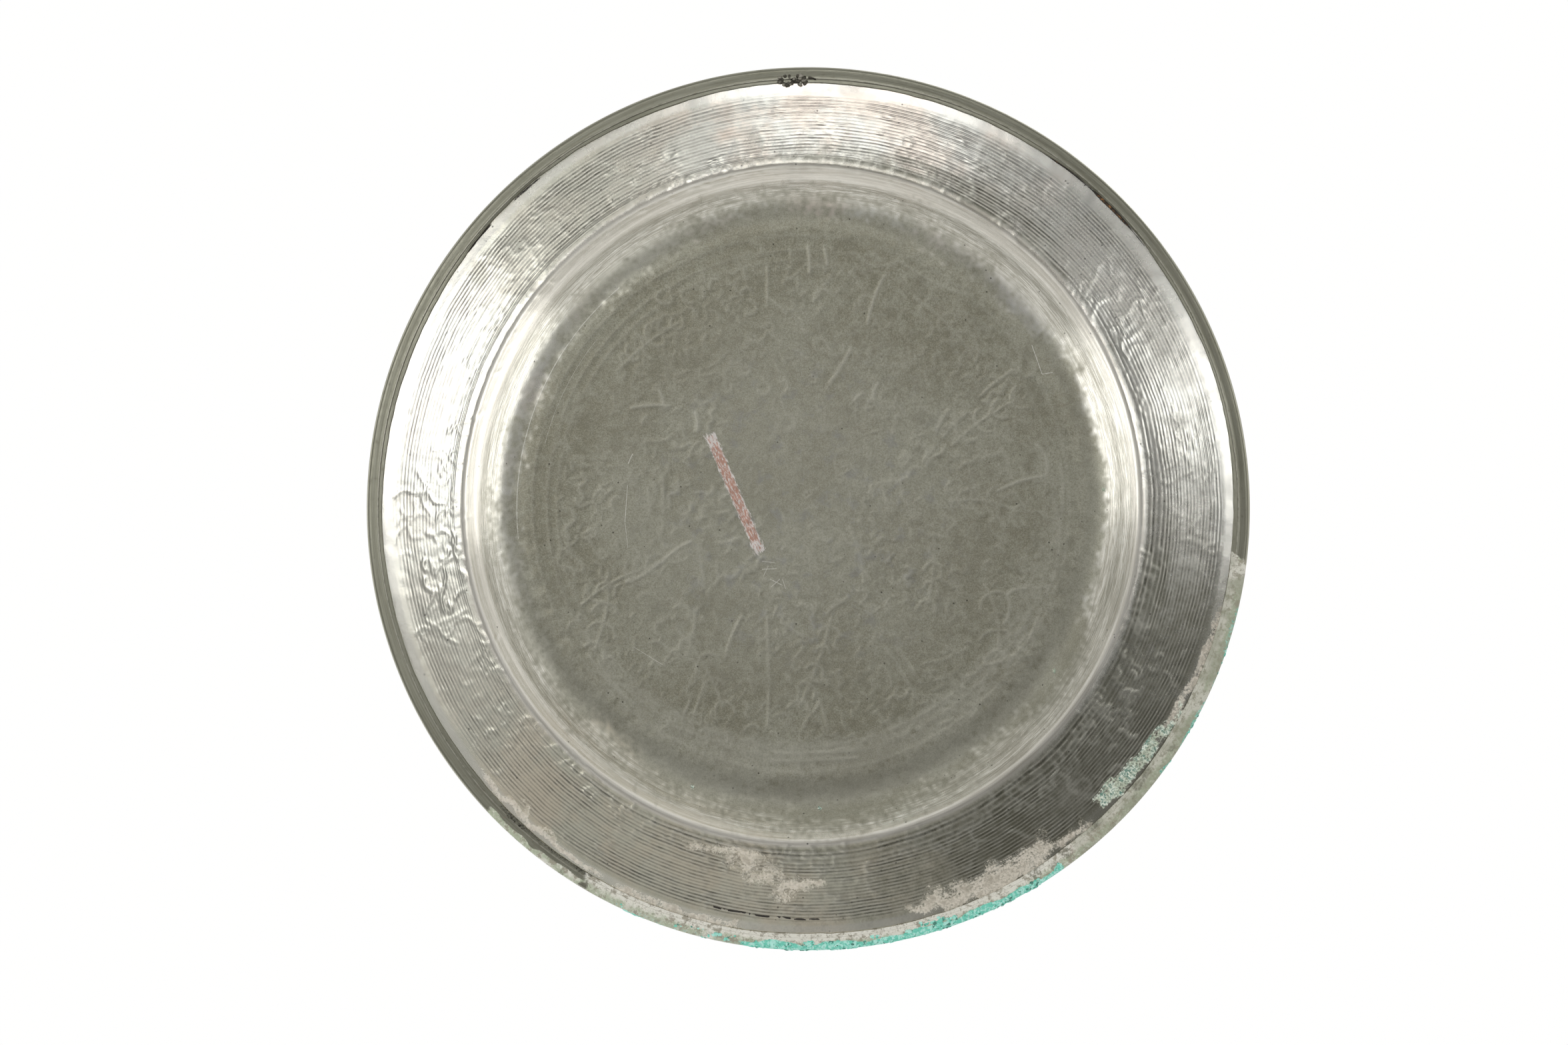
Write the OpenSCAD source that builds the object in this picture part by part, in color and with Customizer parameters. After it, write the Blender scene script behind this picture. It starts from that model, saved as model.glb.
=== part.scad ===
// Paten plate: a raised sheet-copper dish whose edge is bound over a wire.
// It stands right side up on the underside of its well. The origin is the
// centre of that underside and +Z points out of the well. Millimetres.

/* [Plate] */
// Diameter over the bound rim
plate_d = 280; // [200:5:350]
// Diameter of the well where it meets the flange, as a share of plate_d
well_share = 0.772; // [0.70:0.004:0.82]
// Height of the flange's inner edge above the surface the plate stands on
well_h = 18; // [14:1:30]
// Slope of the well's wall
wall_angle = 50; // [35:1:65]
// Slope of the flange
flange_angle = 9; // [2:1:15]
// Thickness of the sheet
sheet_t = 1.2; // [0.8:0.1:1.6]

/* [Bends] */
// Radius between the well's floor and its wall, on the underside
floor_bend_r = 16; // [6:1:16]
// Radius between the wall and the flange, on the underside
shoulder_bend_r = 3; // [2:0.5:4]

/* [Rim] */
// Diameter of the wire inside the bound edge
wire_d = 2.2; // [1.8:0.1:3]
// Thickness of the binding strip
strip_t = 0.5; // [0.3:0.1:0.8]
// Width of the binding on the underside, from the plate's edge inwards
binding_w = 5.4; // [5:0.1:9]
// Width of the binding on the front, from the plate's edge inwards
binding_front_w = 4.4; // [4:0.1:8]
// Direction of the joint between the strip's two ends
joint_angle = 88; // [0:1:359]
// Gap between the strip's two ends
joint_gap = 0.3; // [0.1:0.1:1]
// Height of the solder lump over the joint
solder_h = 0.7; // [0.3:0.1:1]

/* [Hidden] */
$fn = 128;

bend_steps = 8;                  // straight lines that draw each bend
well_r = well_share * plate_d / 2;
roll_r = wire_d / 2 + strip_t;   // radius of the bound edge in section
wire_ring_r = plate_d / 2 - roll_r;

// Straight length of the wall, so that the flange starts at well_h
wall_l = (well_h - floor_bend_r * (1 - cos(wall_angle))
  - shoulder_bend_r * (cos(flange_angle) - cos(wall_angle))) / sin(wall_angle);
// Radius of the flat floor, so that the flange starts at well_r
floor_r = well_r - floor_bend_r * sin(wall_angle) - wall_l * cos(wall_angle)
  - shoulder_bend_r * (sin(wall_angle) - sin(flange_angle));

// Centres of the two bends, in section: [radius, height]
floor_bend = [floor_r, floor_bend_r];
wall_top = floor_bend + floor_bend_r * [sin(wall_angle), -cos(wall_angle)]
  + wall_l * [cos(wall_angle), sin(wall_angle)];
shoulder_bend = wall_top + shoulder_bend_r * [sin(wall_angle), -cos(wall_angle)];

// The wire's centre lies halfway through the flange's thickness
flange_dir = [cos(flange_angle), sin(flange_angle)];
flange_up = [-sin(flange_angle), cos(flange_angle)];
shoulder_mid = shoulder_bend + (shoulder_bend_r + sheet_t / 2) * flange_up;
wire_centre = shoulder_mid
  + (wire_ring_r - shoulder_mid[0]) / cos(flange_angle) * flange_dir;
sheet_end = wire_centre - wire_d / 2 * flange_dir;

solder_ball_r = 4;               // the lump is a cap of a ball this big
section_reach = 20;              // more than any section here needs

function arc(centre, r, from, to) = [
  for (i = [0 : bend_steps])
    let (a = from + (to - from) * i / bend_steps)
      centre + r * [cos(a), sin(a)]
];

// Section line of the sheet, lift above its underside
function sheet_line(lift) = concat(
  [[0, lift]],
  arc(floor_bend, floor_bend_r - lift, -90, wall_angle - 90),
  arc(shoulder_bend, shoulder_bend_r + lift, wall_angle + 90, flange_angle + 90),
  [sheet_end + (lift - sheet_t / 2) * flange_up]
);

function reversed(points) = [
  for (i = [len(points) - 1 : -1 : 0]) points[i]
];

// Places a section drawn around the wire's centre, with +X out along the flange
module at_rim() {
  translate(wire_centre)
    rotate(flange_angle)
      children();
}

// The strip: round the wire, with a leg along each side of the sheet
module binding_section() {
  back_leg = binding_w - roll_r;
  front_leg = binding_front_w - roll_r;
  difference() {
    union() {
      circle(r = roll_r);
      translate([-back_leg, -sheet_t / 2 - strip_t])
        square([back_leg, strip_t]);
      translate([-front_leg, sheet_t / 2])
        square([front_leg, strip_t]);
    }
    circle(d = wire_d);
    translate([-section_reach, -sheet_t / 2])
      square([section_reach, sheet_t]);
  }
}

// All that lies above the underside of the flange and of the strip's back leg
module above_underside_section() {
  back_leg = binding_w - roll_r;
  translate([-section_reach, -sheet_t / 2])
    square([2 * section_reach, section_reach]);
  translate([-back_leg, -sheet_t / 2 - strip_t])
    square([section_reach, section_reach]);
}

// Sheet of the floor, the wall and the flange, up to the wire
module dish() {
  color([0.66, 0.65, 0.61])
    rotate_extrude()
      polygon(concat(sheet_line(0), reversed(sheet_line(sheet_t))));
}

// Round wire that stiffens the edge, closed inside the binding
module rim_wire() {
  color([0.45, 0.43, 0.40])
    rotate_extrude()
      translate(wire_centre)
        circle(d = wire_d);
}

// Strip folded over the wire and the sheet's edge, with its two ends butted
module rim_binding() {
  gap_angle = joint_gap / (PI * plate_d) * 360;
  color([0.40, 0.39, 0.33])
    rotate([0, 0, joint_angle + gap_angle / 2])
      rotate_extrude(angle = 360 - gap_angle)
        at_rim() binding_section();
}

// Lump of solder on the underside, over the joint and the strip's inner edge
module binding_solder() {
  back_leg = binding_w - roll_r;
  ball_drop = sheet_t / 2 + strip_t + solder_h - solder_ball_r;
  ball_centre = wire_centre - back_leg * flange_dir - ball_drop * flange_up;
  color([0.30, 0.29, 0.25])
    difference() {
      rotate([0, 0, joint_angle])
        translate([ball_centre[0], 0, ball_centre[1]])
          sphere(r = solder_ball_r);
      rotate_extrude()
        at_rim() above_underside_section();
    }
}

dish();
rim_wire();
rim_binding();
binding_solder();
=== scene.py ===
"""Paten plate: the looks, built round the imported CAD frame.

Lengths are millimetres while shapes are worked out, and metres in Blender. The plate stands
right side up, with +Z out of its well. Places on the underside are given as seen from below:
"seen" angles run anticlockwise from the viewer's right, so world x is the mirror of seen x.
Places on the underside that wear or dirt has marked are in plate radii.
"""

import math
from types import SimpleNamespace

import bmesh
import bpy
import numpy as np
from mathutils import Matrix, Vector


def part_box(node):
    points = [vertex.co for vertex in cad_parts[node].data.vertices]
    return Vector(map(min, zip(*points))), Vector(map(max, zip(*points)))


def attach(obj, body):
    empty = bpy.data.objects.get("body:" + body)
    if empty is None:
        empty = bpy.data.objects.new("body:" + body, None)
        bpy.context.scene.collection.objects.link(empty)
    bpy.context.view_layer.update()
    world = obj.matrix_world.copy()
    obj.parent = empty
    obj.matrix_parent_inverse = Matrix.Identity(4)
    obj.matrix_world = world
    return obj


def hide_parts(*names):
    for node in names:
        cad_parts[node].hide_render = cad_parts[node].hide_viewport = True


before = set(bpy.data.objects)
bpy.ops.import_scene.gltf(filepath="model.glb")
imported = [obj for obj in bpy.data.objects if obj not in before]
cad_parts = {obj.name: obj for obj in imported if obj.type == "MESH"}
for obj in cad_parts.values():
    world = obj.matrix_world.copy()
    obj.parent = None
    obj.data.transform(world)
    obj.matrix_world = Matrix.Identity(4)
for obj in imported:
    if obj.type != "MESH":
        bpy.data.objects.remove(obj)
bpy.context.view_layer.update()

# ---------------------------------------------------------------- driving sizes, in mm

MM = 0.001
PLATE_R = round(1000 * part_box("rim_binding")[1].x, 1)
WELL_R = 0.772 * PLATE_R
WELL_H = 18.0
WALL_ANGLE = math.radians(50)
FLANGE_ANGLE = math.radians(9)
SHEET_T = 1.2
FLOOR_BEND_R = 16.0
SHOULDER_BEND_R = 3.0
WIRE_R = 1.1
STRIP_T = 0.5
BINDING_W = 5.4
BINDING_FRONT_W = 4.4
WELL_SHIFT = np.array([1.7, 1.5])  # the raised well is this far off the rim's centre

ROLL_R = WIRE_R + STRIP_T
WIRE_RING_R = PLATE_R - ROLL_R
EDGE_R = WIRE_RING_R - WIRE_R      # where the sheet stops, at the wire
STRIP_CREASE_R = PLATE_R - 3.75    # where the strip's underside turns round the wire
MARGIN_FROM_R = PLATE_R - 8.4      # the bright margin beside the strip
MARGIN_TO_R = PLATE_R - 4.8
SECTORS = 1200                     # points round the plate in its outer half


def section():
    """Floor radius and the two bends' ends, as in the CAD part."""
    sin_w, cos_w = math.sin(WALL_ANGLE), math.cos(WALL_ANGLE)
    sin_f, cos_f = math.sin(FLANGE_ANGLE), math.cos(FLANGE_ANGLE)
    wall = WELL_H - FLOOR_BEND_R * (1 - cos_w) - SHOULDER_BEND_R * (cos_f - cos_w)
    wall /= sin_w
    floor = WELL_R - FLOOR_BEND_R * sin_w - wall * cos_w
    floor -= SHOULDER_BEND_R * (sin_w - sin_f)
    shoulder_r = floor + (FLOOR_BEND_R + SHOULDER_BEND_R) * sin_w + wall * cos_w
    shoulder_z = FLOOR_BEND_R - (FLOOR_BEND_R + SHOULDER_BEND_R) * cos_w + wall * sin_w
    return floor, shoulder_r, shoulder_z


FLOOR_R, SHOULDER_CENTRE_R, SHOULDER_CENTRE_Z = section()


def sheet_height(rho, lift):
    """Height of the sheet's surface at a radius; lift is 0 on the underside, SHEET_T on the front."""
    floor_r = FLOOR_BEND_R - lift
    shoulder_r = SHOULDER_BEND_R + lift
    wall_from = FLOOR_R + floor_r * math.sin(WALL_ANGLE)
    wall_to = SHOULDER_CENTRE_R - shoulder_r * math.sin(WALL_ANGLE)
    flange_from = SHOULDER_CENTRE_R - shoulder_r * math.sin(FLANGE_ANGLE)
    wall_z = FLOOR_BEND_R - floor_r * math.cos(WALL_ANGLE)
    flange_z = SHOULDER_CENTRE_Z + shoulder_r * math.cos(FLANGE_ANGLE)
    floor_bend = np.sqrt(np.maximum(floor_r**2 - (rho - FLOOR_R) ** 2, 0))
    shoulder_bend = np.sqrt(np.maximum(shoulder_r**2 - (rho - SHOULDER_CENTRE_R) ** 2, 0))
    return np.select(
        [rho < FLOOR_R, rho < wall_from, rho < wall_to, rho < flange_from],
        [
            np.full_like(rho, lift),
            FLOOR_BEND_R - floor_bend,
            wall_z + (rho - wall_from) * math.tan(WALL_ANGLE),
            SHOULDER_CENTRE_Z + shoulder_bend,
        ],
        flange_z + (rho - flange_from) * math.tan(FLANGE_ANGLE),
    )


WIRE_Z = float(sheet_height(np.array([WIRE_RING_R]), 0)[0])
WIRE_Z += SHEET_T / 2 / math.cos(FLANGE_ANGLE)
FLANGE_SAG = 0.42                  # the flange dips this much half way out


def sag(rho):
    """The flange's shallow dip between its bend and the wire."""
    t = np.clip((rho - WELL_R - 1) / (EDGE_R - WELL_R - 1), 0, 1)
    return -4 * FLANGE_SAG * t * (1 - t)


# ---------------------------------------------------------------- plan maps

CELL = 0.25
MAP_HALF = 144.0
MAP_N = int(2 * MAP_HALF / CELL)
MAP_AXIS = (np.arange(MAP_N) + 0.5) * CELL - MAP_HALF
MAP_X, MAP_Y = np.meshgrid(MAP_AXIS, MAP_AXIS)
MAP_RHO = np.hypot(MAP_X, MAP_Y)
MAP_SEEN = np.degrees(np.arctan2(MAP_Y, -MAP_X))


def smooth(values, low, high):
    """0 below low, 1 above high, and a smooth step between."""
    t = np.clip((values - low) / (high - low), 0, 1)
    return t * t * (3 - 2 * t)


def band(values, low, high, soft):
    """1 between low and high, fading over soft on each side."""
    return smooth(values, low - soft, low) * (1 - smooth(values, high, high + soft))


def blur(plan, size):
    """A plan map softened over size millimetres."""
    k = 2 * np.pi * np.fft.fftfreq(MAP_N, CELL)
    k_half = 2 * np.pi * np.fft.rfftfreq(MAP_N, CELL)
    kept = np.exp(-0.5 * size**2 * (k[:, None] ** 2 + k_half[None, :] ** 2))
    return np.fft.irfft2(np.fft.rfft2(plan) * kept, s=plan.shape)


def cloud(seed, size):
    """Smooth random map with a spread of 1 and lumps of about size millimetres."""
    noise = np.random.default_rng(seed).standard_normal((MAP_N, MAP_N))
    soft = blur(noise, size)
    return soft / soft.std()


def sample(plan, x, y):
    """A plan map's values at points, between its cells."""
    u = np.clip((x + MAP_HALF) / CELL - 0.5, 0, MAP_N - 1.001)
    v = np.clip((y + MAP_HALF) / CELL - 0.5, 0, MAP_N - 1.001)
    i, j = u.astype(int), v.astype(int)
    fu, fv = u - i, v - j
    low = plan[j, i] * (1 - fu) + plan[j, i + 1] * fu
    high = plan[j + 1, i] * (1 - fu) + plan[j + 1, i + 1] * fu
    return low * (1 - fv) + high * fv


def stamp(plan, points, width, height=1.0):
    """Draws a soft line through points into a plan map, keeping what is higher."""
    reach = width * 1.2
    for (x0, y0), (x1, y1) in zip(points[:-1], points[1:]):
        i0 = max(int((min(x0, x1) - reach + MAP_HALF) / CELL), 0)
        i1 = min(int((max(x0, x1) + reach + MAP_HALF) / CELL) + 2, MAP_N)
        j0 = max(int((min(y0, y1) - reach + MAP_HALF) / CELL), 0)
        j1 = min(int((max(y0, y1) + reach + MAP_HALF) / CELL) + 2, MAP_N)
        if i0 >= i1 or j0 >= j1:
            continue
        x = MAP_AXIS[None, i0:i1]
        y = MAP_AXIS[j0:j1, None]
        dx, dy = x1 - x0, y1 - y0
        t = np.clip(((x - x0) * dx + (y - y0) * dy) / max(dx * dx + dy * dy, 1e-9), 0, 1)
        gap2 = (x - x0 - t * dx) ** 2 + (y - y0 - t * dy) ** 2
        line = height * np.exp(-4 * gap2 / width**2)
        plan[j0:j1, i0:i1] = np.maximum(plan[j0:j1, i0:i1], line)


# ---------------------------------------------------------------- chased ornament

FLANGE_MID_R = 121.5
CARTOUCHES = 6
CARTOUCHE_FROM = 14.0              # world angle of the first cartouche
CARTOUCHE_HALF_W = 11.5
CARTOUCHE_HALF_H = 8.6
SCROLLS_BETWEEN = 4
SCALE_ROWS = 4
SCALE_FROM_R = 85.5
SCALE_R = 1.6


def circle(radius, centre=(0, 0), points=240):
    """A closed ring of points."""
    a = np.linspace(0, 2 * np.pi, points + 1)
    return np.c_[centre[0] + radius * np.cos(a), centre[1] + radius * np.sin(a)]


def curve(start, bend, end, points=24):
    """Quadratic curve from start to end, pulled towards bend."""
    t = np.linspace(0, 1, points)[:, None]
    start, bend, end = np.array(start), np.array(bend), np.array(end)
    return (1 - t) ** 2 * start + 2 * t * (1 - t) * bend + t**2 * end


def leaf(base, heading, length, width):
    """Outline of a pointed leaf: two curves that meet at its base and its tip."""
    base = np.array(base, float)
    along = np.array([math.cos(heading), math.sin(heading)])
    across = np.array([-along[1], along[0]])
    tip = base + along * length
    middle = base + along * length * 0.45
    return [curve(base, middle + side * across * width, tip, 10) for side in (-1, 1)]


def mirrored(lines):
    """The lines and their mirror images across the plate's upright axis."""
    return lines + [line * np.array([-1, 1]) for line in lines]


def cross_lines():
    """Outline of a cross with flared ends, on three steps."""
    centre = np.array([0.0, 12.0])
    narrow, flare = 2.6, 5.4
    outline = []
    for quarter, reach in enumerate((21, 24, 21, 40)):
        a = quarter * math.pi / 2
        along = np.array([math.cos(a), math.sin(a)])
        across = np.array([-along[1], along[0]])
        for length, half in ((narrow, -narrow), (reach, -flare), (reach, flare)):
            outline.append(centre + along * length + across * half)
    outline.append(outline[0])
    lines = [np.array(outline)]
    for step, half in enumerate((9, 15, 22)):
        top, foot = -28 - 7 * step, -35 - 7 * step
        lines.append(np.array([(-half, foot), (-half, top), (half, top), (half, foot), (-half, foot)]))
    return lines


def ray_lines():
    """Rays that fan out from the crossing, long and short in turn, clear of the arms."""
    centre = np.array([0.0, 12.0])
    lines = []
    for i, angle in enumerate(np.arange(-20, 200.1, 5)):
        if min(abs(angle - arm) for arm in (0, 90, 180)) < 13:
            continue
        direction = np.array([math.cos(math.radians(angle)), math.sin(math.radians(angle))])
        reach = (34, 25, 43, 25)[i % 4]
        lines.append(np.array([centre + 12 * direction, centre + reach * direction]))
    return lines


def frond_lines():
    """A palm frond up one side: a bent stem with leaves in pairs."""
    stem = curve((14, -60), (66, -40), (53, 38), 60)
    lines = [stem]
    for k in range(14):
        i = 5 + k * 4
        along = stem[i] - stem[i - 1]
        heading = math.atan2(along[1], along[0])
        length = 17 - 0.55 * k
        for side in (-1, 1):
            lines += leaf(stem[i], heading + side * 0.75, length, 2.6)
    return lines


def rosette_lines(centre, radius, petals):
    """A small ring with pointed petals round it."""
    lines = [circle(radius * 0.25, centre, 12)]
    for k in range(petals):
        heading = 2 * math.pi * k / petals
        base = np.array(centre) + radius * 0.3 * np.array([math.cos(heading), math.sin(heading)])
        lines += leaf(base, heading, radius * 0.7, radius * 0.22)
    return lines


def well_lines():
    """The well's lines, about the well's centre."""
    lines = cross_lines() + ray_lines()
    lines += mirrored(frond_lines() + rosette_lines((24, 56), 9, 6) + rosette_lines((33, -14), 6, 6))
    lines += mirrored([curve((4, 68), (16, 74), (14, 64)), curve((34, 66), (46, 66), (44, 56))])
    lines += [circle(radius, points=720) for radius in (76.2, 79.4)]
    return [line + WELL_SHIFT for line in lines]


def scale_lines():
    """Rows of small punched crescents round the bend of the well."""
    lines = []
    arc = np.radians(np.linspace(-105, 105, 9))
    for row in range(SCALE_ROWS):
        ring_r = SCALE_FROM_R + row * 2.5
        count = int(2 * math.pi * ring_r / (2.1 * SCALE_R))
        for k in range(count):
            a = 2 * math.pi * (k + 0.5 * (row % 2)) / count
            x = (ring_r + SCALE_R * np.cos(arc)) * math.cos(a) - SCALE_R * np.sin(arc) * math.sin(a)
            y = (ring_r + SCALE_R * np.cos(arc)) * math.sin(a) + SCALE_R * np.sin(arc) * math.cos(a)
            lines.append(np.c_[x, y] + WELL_SHIFT)
    return lines


def on_flange(line, angle):
    """Wraps a line drawn flat (along the flange, and outwards) round the flange at a world angle."""
    a = math.radians(angle) - line[:, 0] / FLANGE_MID_R
    rho = FLANGE_MID_R + line[:, 1]
    return np.c_[rho * np.cos(a), rho * np.sin(a)]


def cartouche_line(grow=0.0):
    """Rounded oblong frame with slightly pinched sides."""
    a = np.linspace(0, 2 * np.pi, 73)
    c, s = np.cos(a), np.sin(a)
    x = (CARTOUCHE_HALF_W + grow) * np.sign(c) * np.abs(c) ** 0.75
    y = (CARTOUCHE_HALF_H + grow) * np.sign(s) * np.abs(s) ** 0.75
    return np.c_[x, y]


def scroll_lines(hand):
    """One turn of scrolling foliage: a spiral stem with leaves round its outer side."""
    t = np.linspace(0, 1, 44)
    radius = 7.0 - 5.6 * t**0.8
    turn = hand * (2 * math.pi * 1.55 * t + 0.4)
    lines = [np.c_[radius * np.cos(turn), radius * np.sin(turn)]]
    for k in range(9):
        a = hand * (0.1 + k * 0.62)
        base = 6.4 * np.array([math.cos(a), math.sin(a)])
        lines += leaf(base, a + hand * 0.9, 4.6, 1.5)
    for k in range(4):
        a = hand * (2.0 + k * 1.4)
        base = 2.6 * np.array([math.cos(a), math.sin(a)])
        lines += leaf(base, a + hand * 0.6, 2.8, 1.0)
    return lines


def flange_lines():
    """The flange's lines: cartouches with foliage between them, inside two rings."""
    step = 360 / CARTOUCHES
    lines = [circle(radius, points=720) for radius in (111.4, 132.0)]
    for k in range(CARTOUCHES):
        middle = CARTOUCHE_FROM + step * k
        lines += [on_flange(cartouche_line(grow), middle) for grow in (0, 1.5)]
        clear = math.degrees((CARTOUCHE_HALF_W + 1.5) / FLANGE_MID_R)
        pitch = (step - 2 * clear) / SCROLLS_BETWEEN
        for j in range(SCROLLS_BETWEEN):
            angle = middle + clear + pitch * (j + 0.5)
            hand = 1 if j % 2 == 0 else -1
            lines += [on_flange(line, angle) for line in scroll_lines(hand)]
    return lines


def line_map(lines, width):
    """A plan map with the lines drawn in it."""
    plan = np.zeros((MAP_N, MAP_N))
    for line in lines:
        stamp(plan, line, width)
    return plan


def bent(start, end, bend, points=9):
    """A curved stroke from start to end, bowed sideways by bend, on the underside as seen."""
    (x0, y0), (x1, y1) = start, end
    length = math.hypot(x1 - x0, y1 - y0)
    middle = ((x0 + x1) / 2 - bend * (y1 - y0) / length, (y0 + y1) / 2 + bend * (x1 - x0) / length)
    return curve(start, middle, end, points) * np.array([-1, 1])


def leafy(stem_from, stem_to, bend, leaves, size, rng):
    """A bowed stem with a loose row of curled leaves on each side."""
    stem = bent(stem_from, stem_to, bend, 4 * leaves)
    lines = [stem]
    for k in range(leaves):
        base = stem[4 * k + 2]
        along = stem[4 * k + 3] - base
        heading = math.atan2(along[1], along[0])
        for side in (-1, 1):
            turn = heading + side * rng.uniform(0.5, 1.2)
            reach = size * rng.uniform(0.6, 1.2)
            tip = base + reach * np.array([math.cos(turn), math.sin(turn)])
            lean = base + reach * 0.6 * np.array([math.cos(turn + side * 0.7), math.sin(turn + side * 0.7)])
            lines.append(curve(base, lean, tip, 7))
    return lines


def well_ridges():
    """Ridges on the well's underside, as seen: worked lines that show through from the front."""
    rng = np.random.default_rng(31)
    strong = [
        bent((24.8, 73), (19.5, 58), -1.5), bent((14.2, 50), (7.8, 39.4), 0.4),
        bent((0.7, 82), (1.3, 74), 0.5), bent((6, 81), (6.8, 76.5), 0.4),
        bent((72, 20), (75, 10), 3.5), bent((74, 10), (60, 5.5), -1.5),
        bent((63, -27), (62, -36), 2.5), bent((63, -27), (69, -25), 1.5),
        bent((-45, -17), (-36, -10.5), 1.5), bent((-56, -23), (-46, -17), -1.5),
        bent((-54.5, 31.5), (-43, 32), 1.2), bent((-46, 37), (-44.5, 32), 0.8),
        bent((15.4, 34), (18, 36), 0.6), bent((21.3, 34), (22.5, 39), 1.2),
        bent((-34.6, 30), (-34, 24.5), 0.9),
    ]
    medium = [
        bent((79.5, 14), (78, -12), 3.0), bent((77, 4), (79, -14), 2.5), bent((79, -12), (75, -27), 2.0),
        bent((72.5, -34), (66.5, -45), 2.0), bent((66.5, -45), (56, -49), 1.5), bent((53, 52), (53, 46), 2),
        bent((54.8, 35.3), (65.4, 43.5), 1.0), bent((43, 22.4), (50, 29.4), 1.0),
        bent((41, 24), (45, 31), 0.8), bent((-11, -79), (16, -78), -0.6),
        bent((-10, -76.6), (15, -75.8), -0.6), bent((-12, -34), (-11.8, -68), 0.7),
        bent((-68, -46), (-56, -60), -1.5), bent((-65, -48), (-54, -61), -1.5),
        bent((-36, -58), (-38, -64), 0.8),
        bent((-33, -58), (-35, -64), 0.6), bent((25, -43.5), (32, -55), 0.8),
        bent((28, -43), (34, -52), 0.8),
        bent((13.6, -6), (18.4, -23), 1.8), bent((-34.6, -33), (-37, -46), 1.0),
        bent((-25, -46), (-20, -34), 1.0),
        bent((-12, 76), (-12, 66), 0.3), bent((-12, 66), (-6, 61), 0.8), bent((-45, 10), (-44.6, -1), 0.6),
        bent((-49.5, 6), (-49, -1), 0.6), bent((19, 76.5), (29, 77.5), -2.0), bent((30, 77), (50, 67), -2.0),
        bent((-34, -12), (-32, -24), 0.8), bent((4.2, -60), (7, -70), 0.6), bent((6.6, -33), (12, -29), 1.0),
    ]
    medium += leafy((-70, -30), (-48, -18), 3, 4, 5.0, rng) + leafy((45, 2), (66, -1), 4, 5, 6.0, rng)
    medium += leafy((56, -24), (60, -46), 4, 4, 6.0, rng) + leafy((-62, -20), (-66, -44), 3, 4, 5.0, rng)
    medium += leafy((34, 66), (52, 48), 3, 4, 5.5, rng) + leafy((-40, -38), (-26, -62), 3, 4, 5.0, rng)
    medium += leafy((40, -8), (38, -30), 2, 4, 4.5, rng) + leafy((8, -34), (-2, -62), 2, 5, 4.0, rng)
    medium += leafy((-58, 44), (-40, 58), 2, 3, 4.5, rng) + leafy((46, 20), (66, 34), 2, 4, 5.0, rng)
    faint = []
    for _ in range(1500):
        rho = 80 * math.sqrt(rng.random())
        a = rng.uniform(0, 2 * math.pi)
        heading = rng.normal(math.pi / 2, 0.9)
        reach = rng.uniform(1.2, 4.5)
        start = (rho * math.cos(a), rho * math.sin(a))
        end = (start[0] + reach * math.cos(heading), start[1] + reach * math.sin(heading))
        faint.append(bent(start, end, rng.uniform(-0.9, 0.9), 5))
    plan = np.zeros((MAP_N, MAP_N))
    for lines, width, height in ((strong, 1.15, 1.0), (medium, 1.1, 0.62)):
        for line in lines:
            stamp(plan, line, width, height)
    for line in faint:
        stamp(plan, line, rng.uniform(0.75, 1.1), rng.uniform(0.12, 0.5))
    for _ in range(420):
        rho, a = 82 * rng.random() ** 0.42, rng.uniform(0, 2 * math.pi)
        middle = np.array([rho * math.cos(a), rho * math.sin(a)])
        stamp(plan, middle + curl(rng, 1.1), rng.uniform(1.0, 1.5), rng.uniform(0.25, 0.6))
    for radius in (76.2, 79.4, 84.0):
        stamp(plan, circle(radius, WELL_SHIFT, 720), 1.1, 0.3)
    return plan


def curl(rng, longer):
    """A crescent, a hook or a short wavy stroke, flat, a few millimetres long."""
    kind = rng.random()
    turn = rng.uniform(0, 2 * math.pi)
    if kind < 0.65:
        radius = longer * rng.uniform(1.4, 3.4)
        sweep = rng.uniform(1.2, 3.4) / longer
        a = turn + np.linspace(0, sweep, 11)
        return (radius * (1 - 0.05 * np.arange(11)))[:, None] * np.c_[np.cos(a), np.sin(a)]
    t = np.linspace(-0.5, 0.5, 11)
    x, y = longer * rng.uniform(4, 9) * t, rng.uniform(0.4, 1.1) * np.sin(t * rng.uniform(5, 10))
    return np.c_[x * math.cos(turn) - y * math.sin(turn), x * math.sin(turn) + y * math.cos(turn)]


def flange_ridges(count):
    """Curled ridges on the flange's underside, thick near the well and clear of the cartouches.
    They are longer and reach further out over two wide sectors, left and right."""
    rng = np.random.default_rng(41)
    plan = np.zeros((MAP_N, MAP_N))
    for _ in range(count):
        angle = rng.uniform(0, 360)
        seen = (180 - angle) % 360
        wide = 158 < seen < 206 or seen < 34 or seen > 352
        rho = 109.6 + 20 * rng.random() ** (1.2 if wide else 2.6)
        from_cartouche = (angle - CARTOUCHE_FROM + 30) % 60 - 30
        if abs(from_cartouche) < 5.4 and rho > 113.0:
            continue
        line = curl(rng, 1.6 if wide else 1.0) + np.array([0, rho - FLANGE_MID_R])
        if wide and rng.random() < 0.45:
            continue
        stamp(plan, on_flange(line, angle), rng.uniform(0.95, 1.4), rng.uniform(0.3, 1.0))
    return plan


# ---------------------------------------------------------------- wear and painted light, in plate radii and seen angles


def blotch(seen, radius, along, across):
    """A soft patch: centre at a seen angle and radius, half-sizes in mm along and across the flange."""
    turn = np.radians((MAP_SEEN - seen + 180) % 360 - 180)
    u = turn * radius * PLATE_R + 2.2 * WANDER_A
    v = MAP_RHO - radius * PLATE_R + 1.4 * WANDER_B
    return np.exp(-((u / along) ** 2) - (v / across) ** 2)


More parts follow.
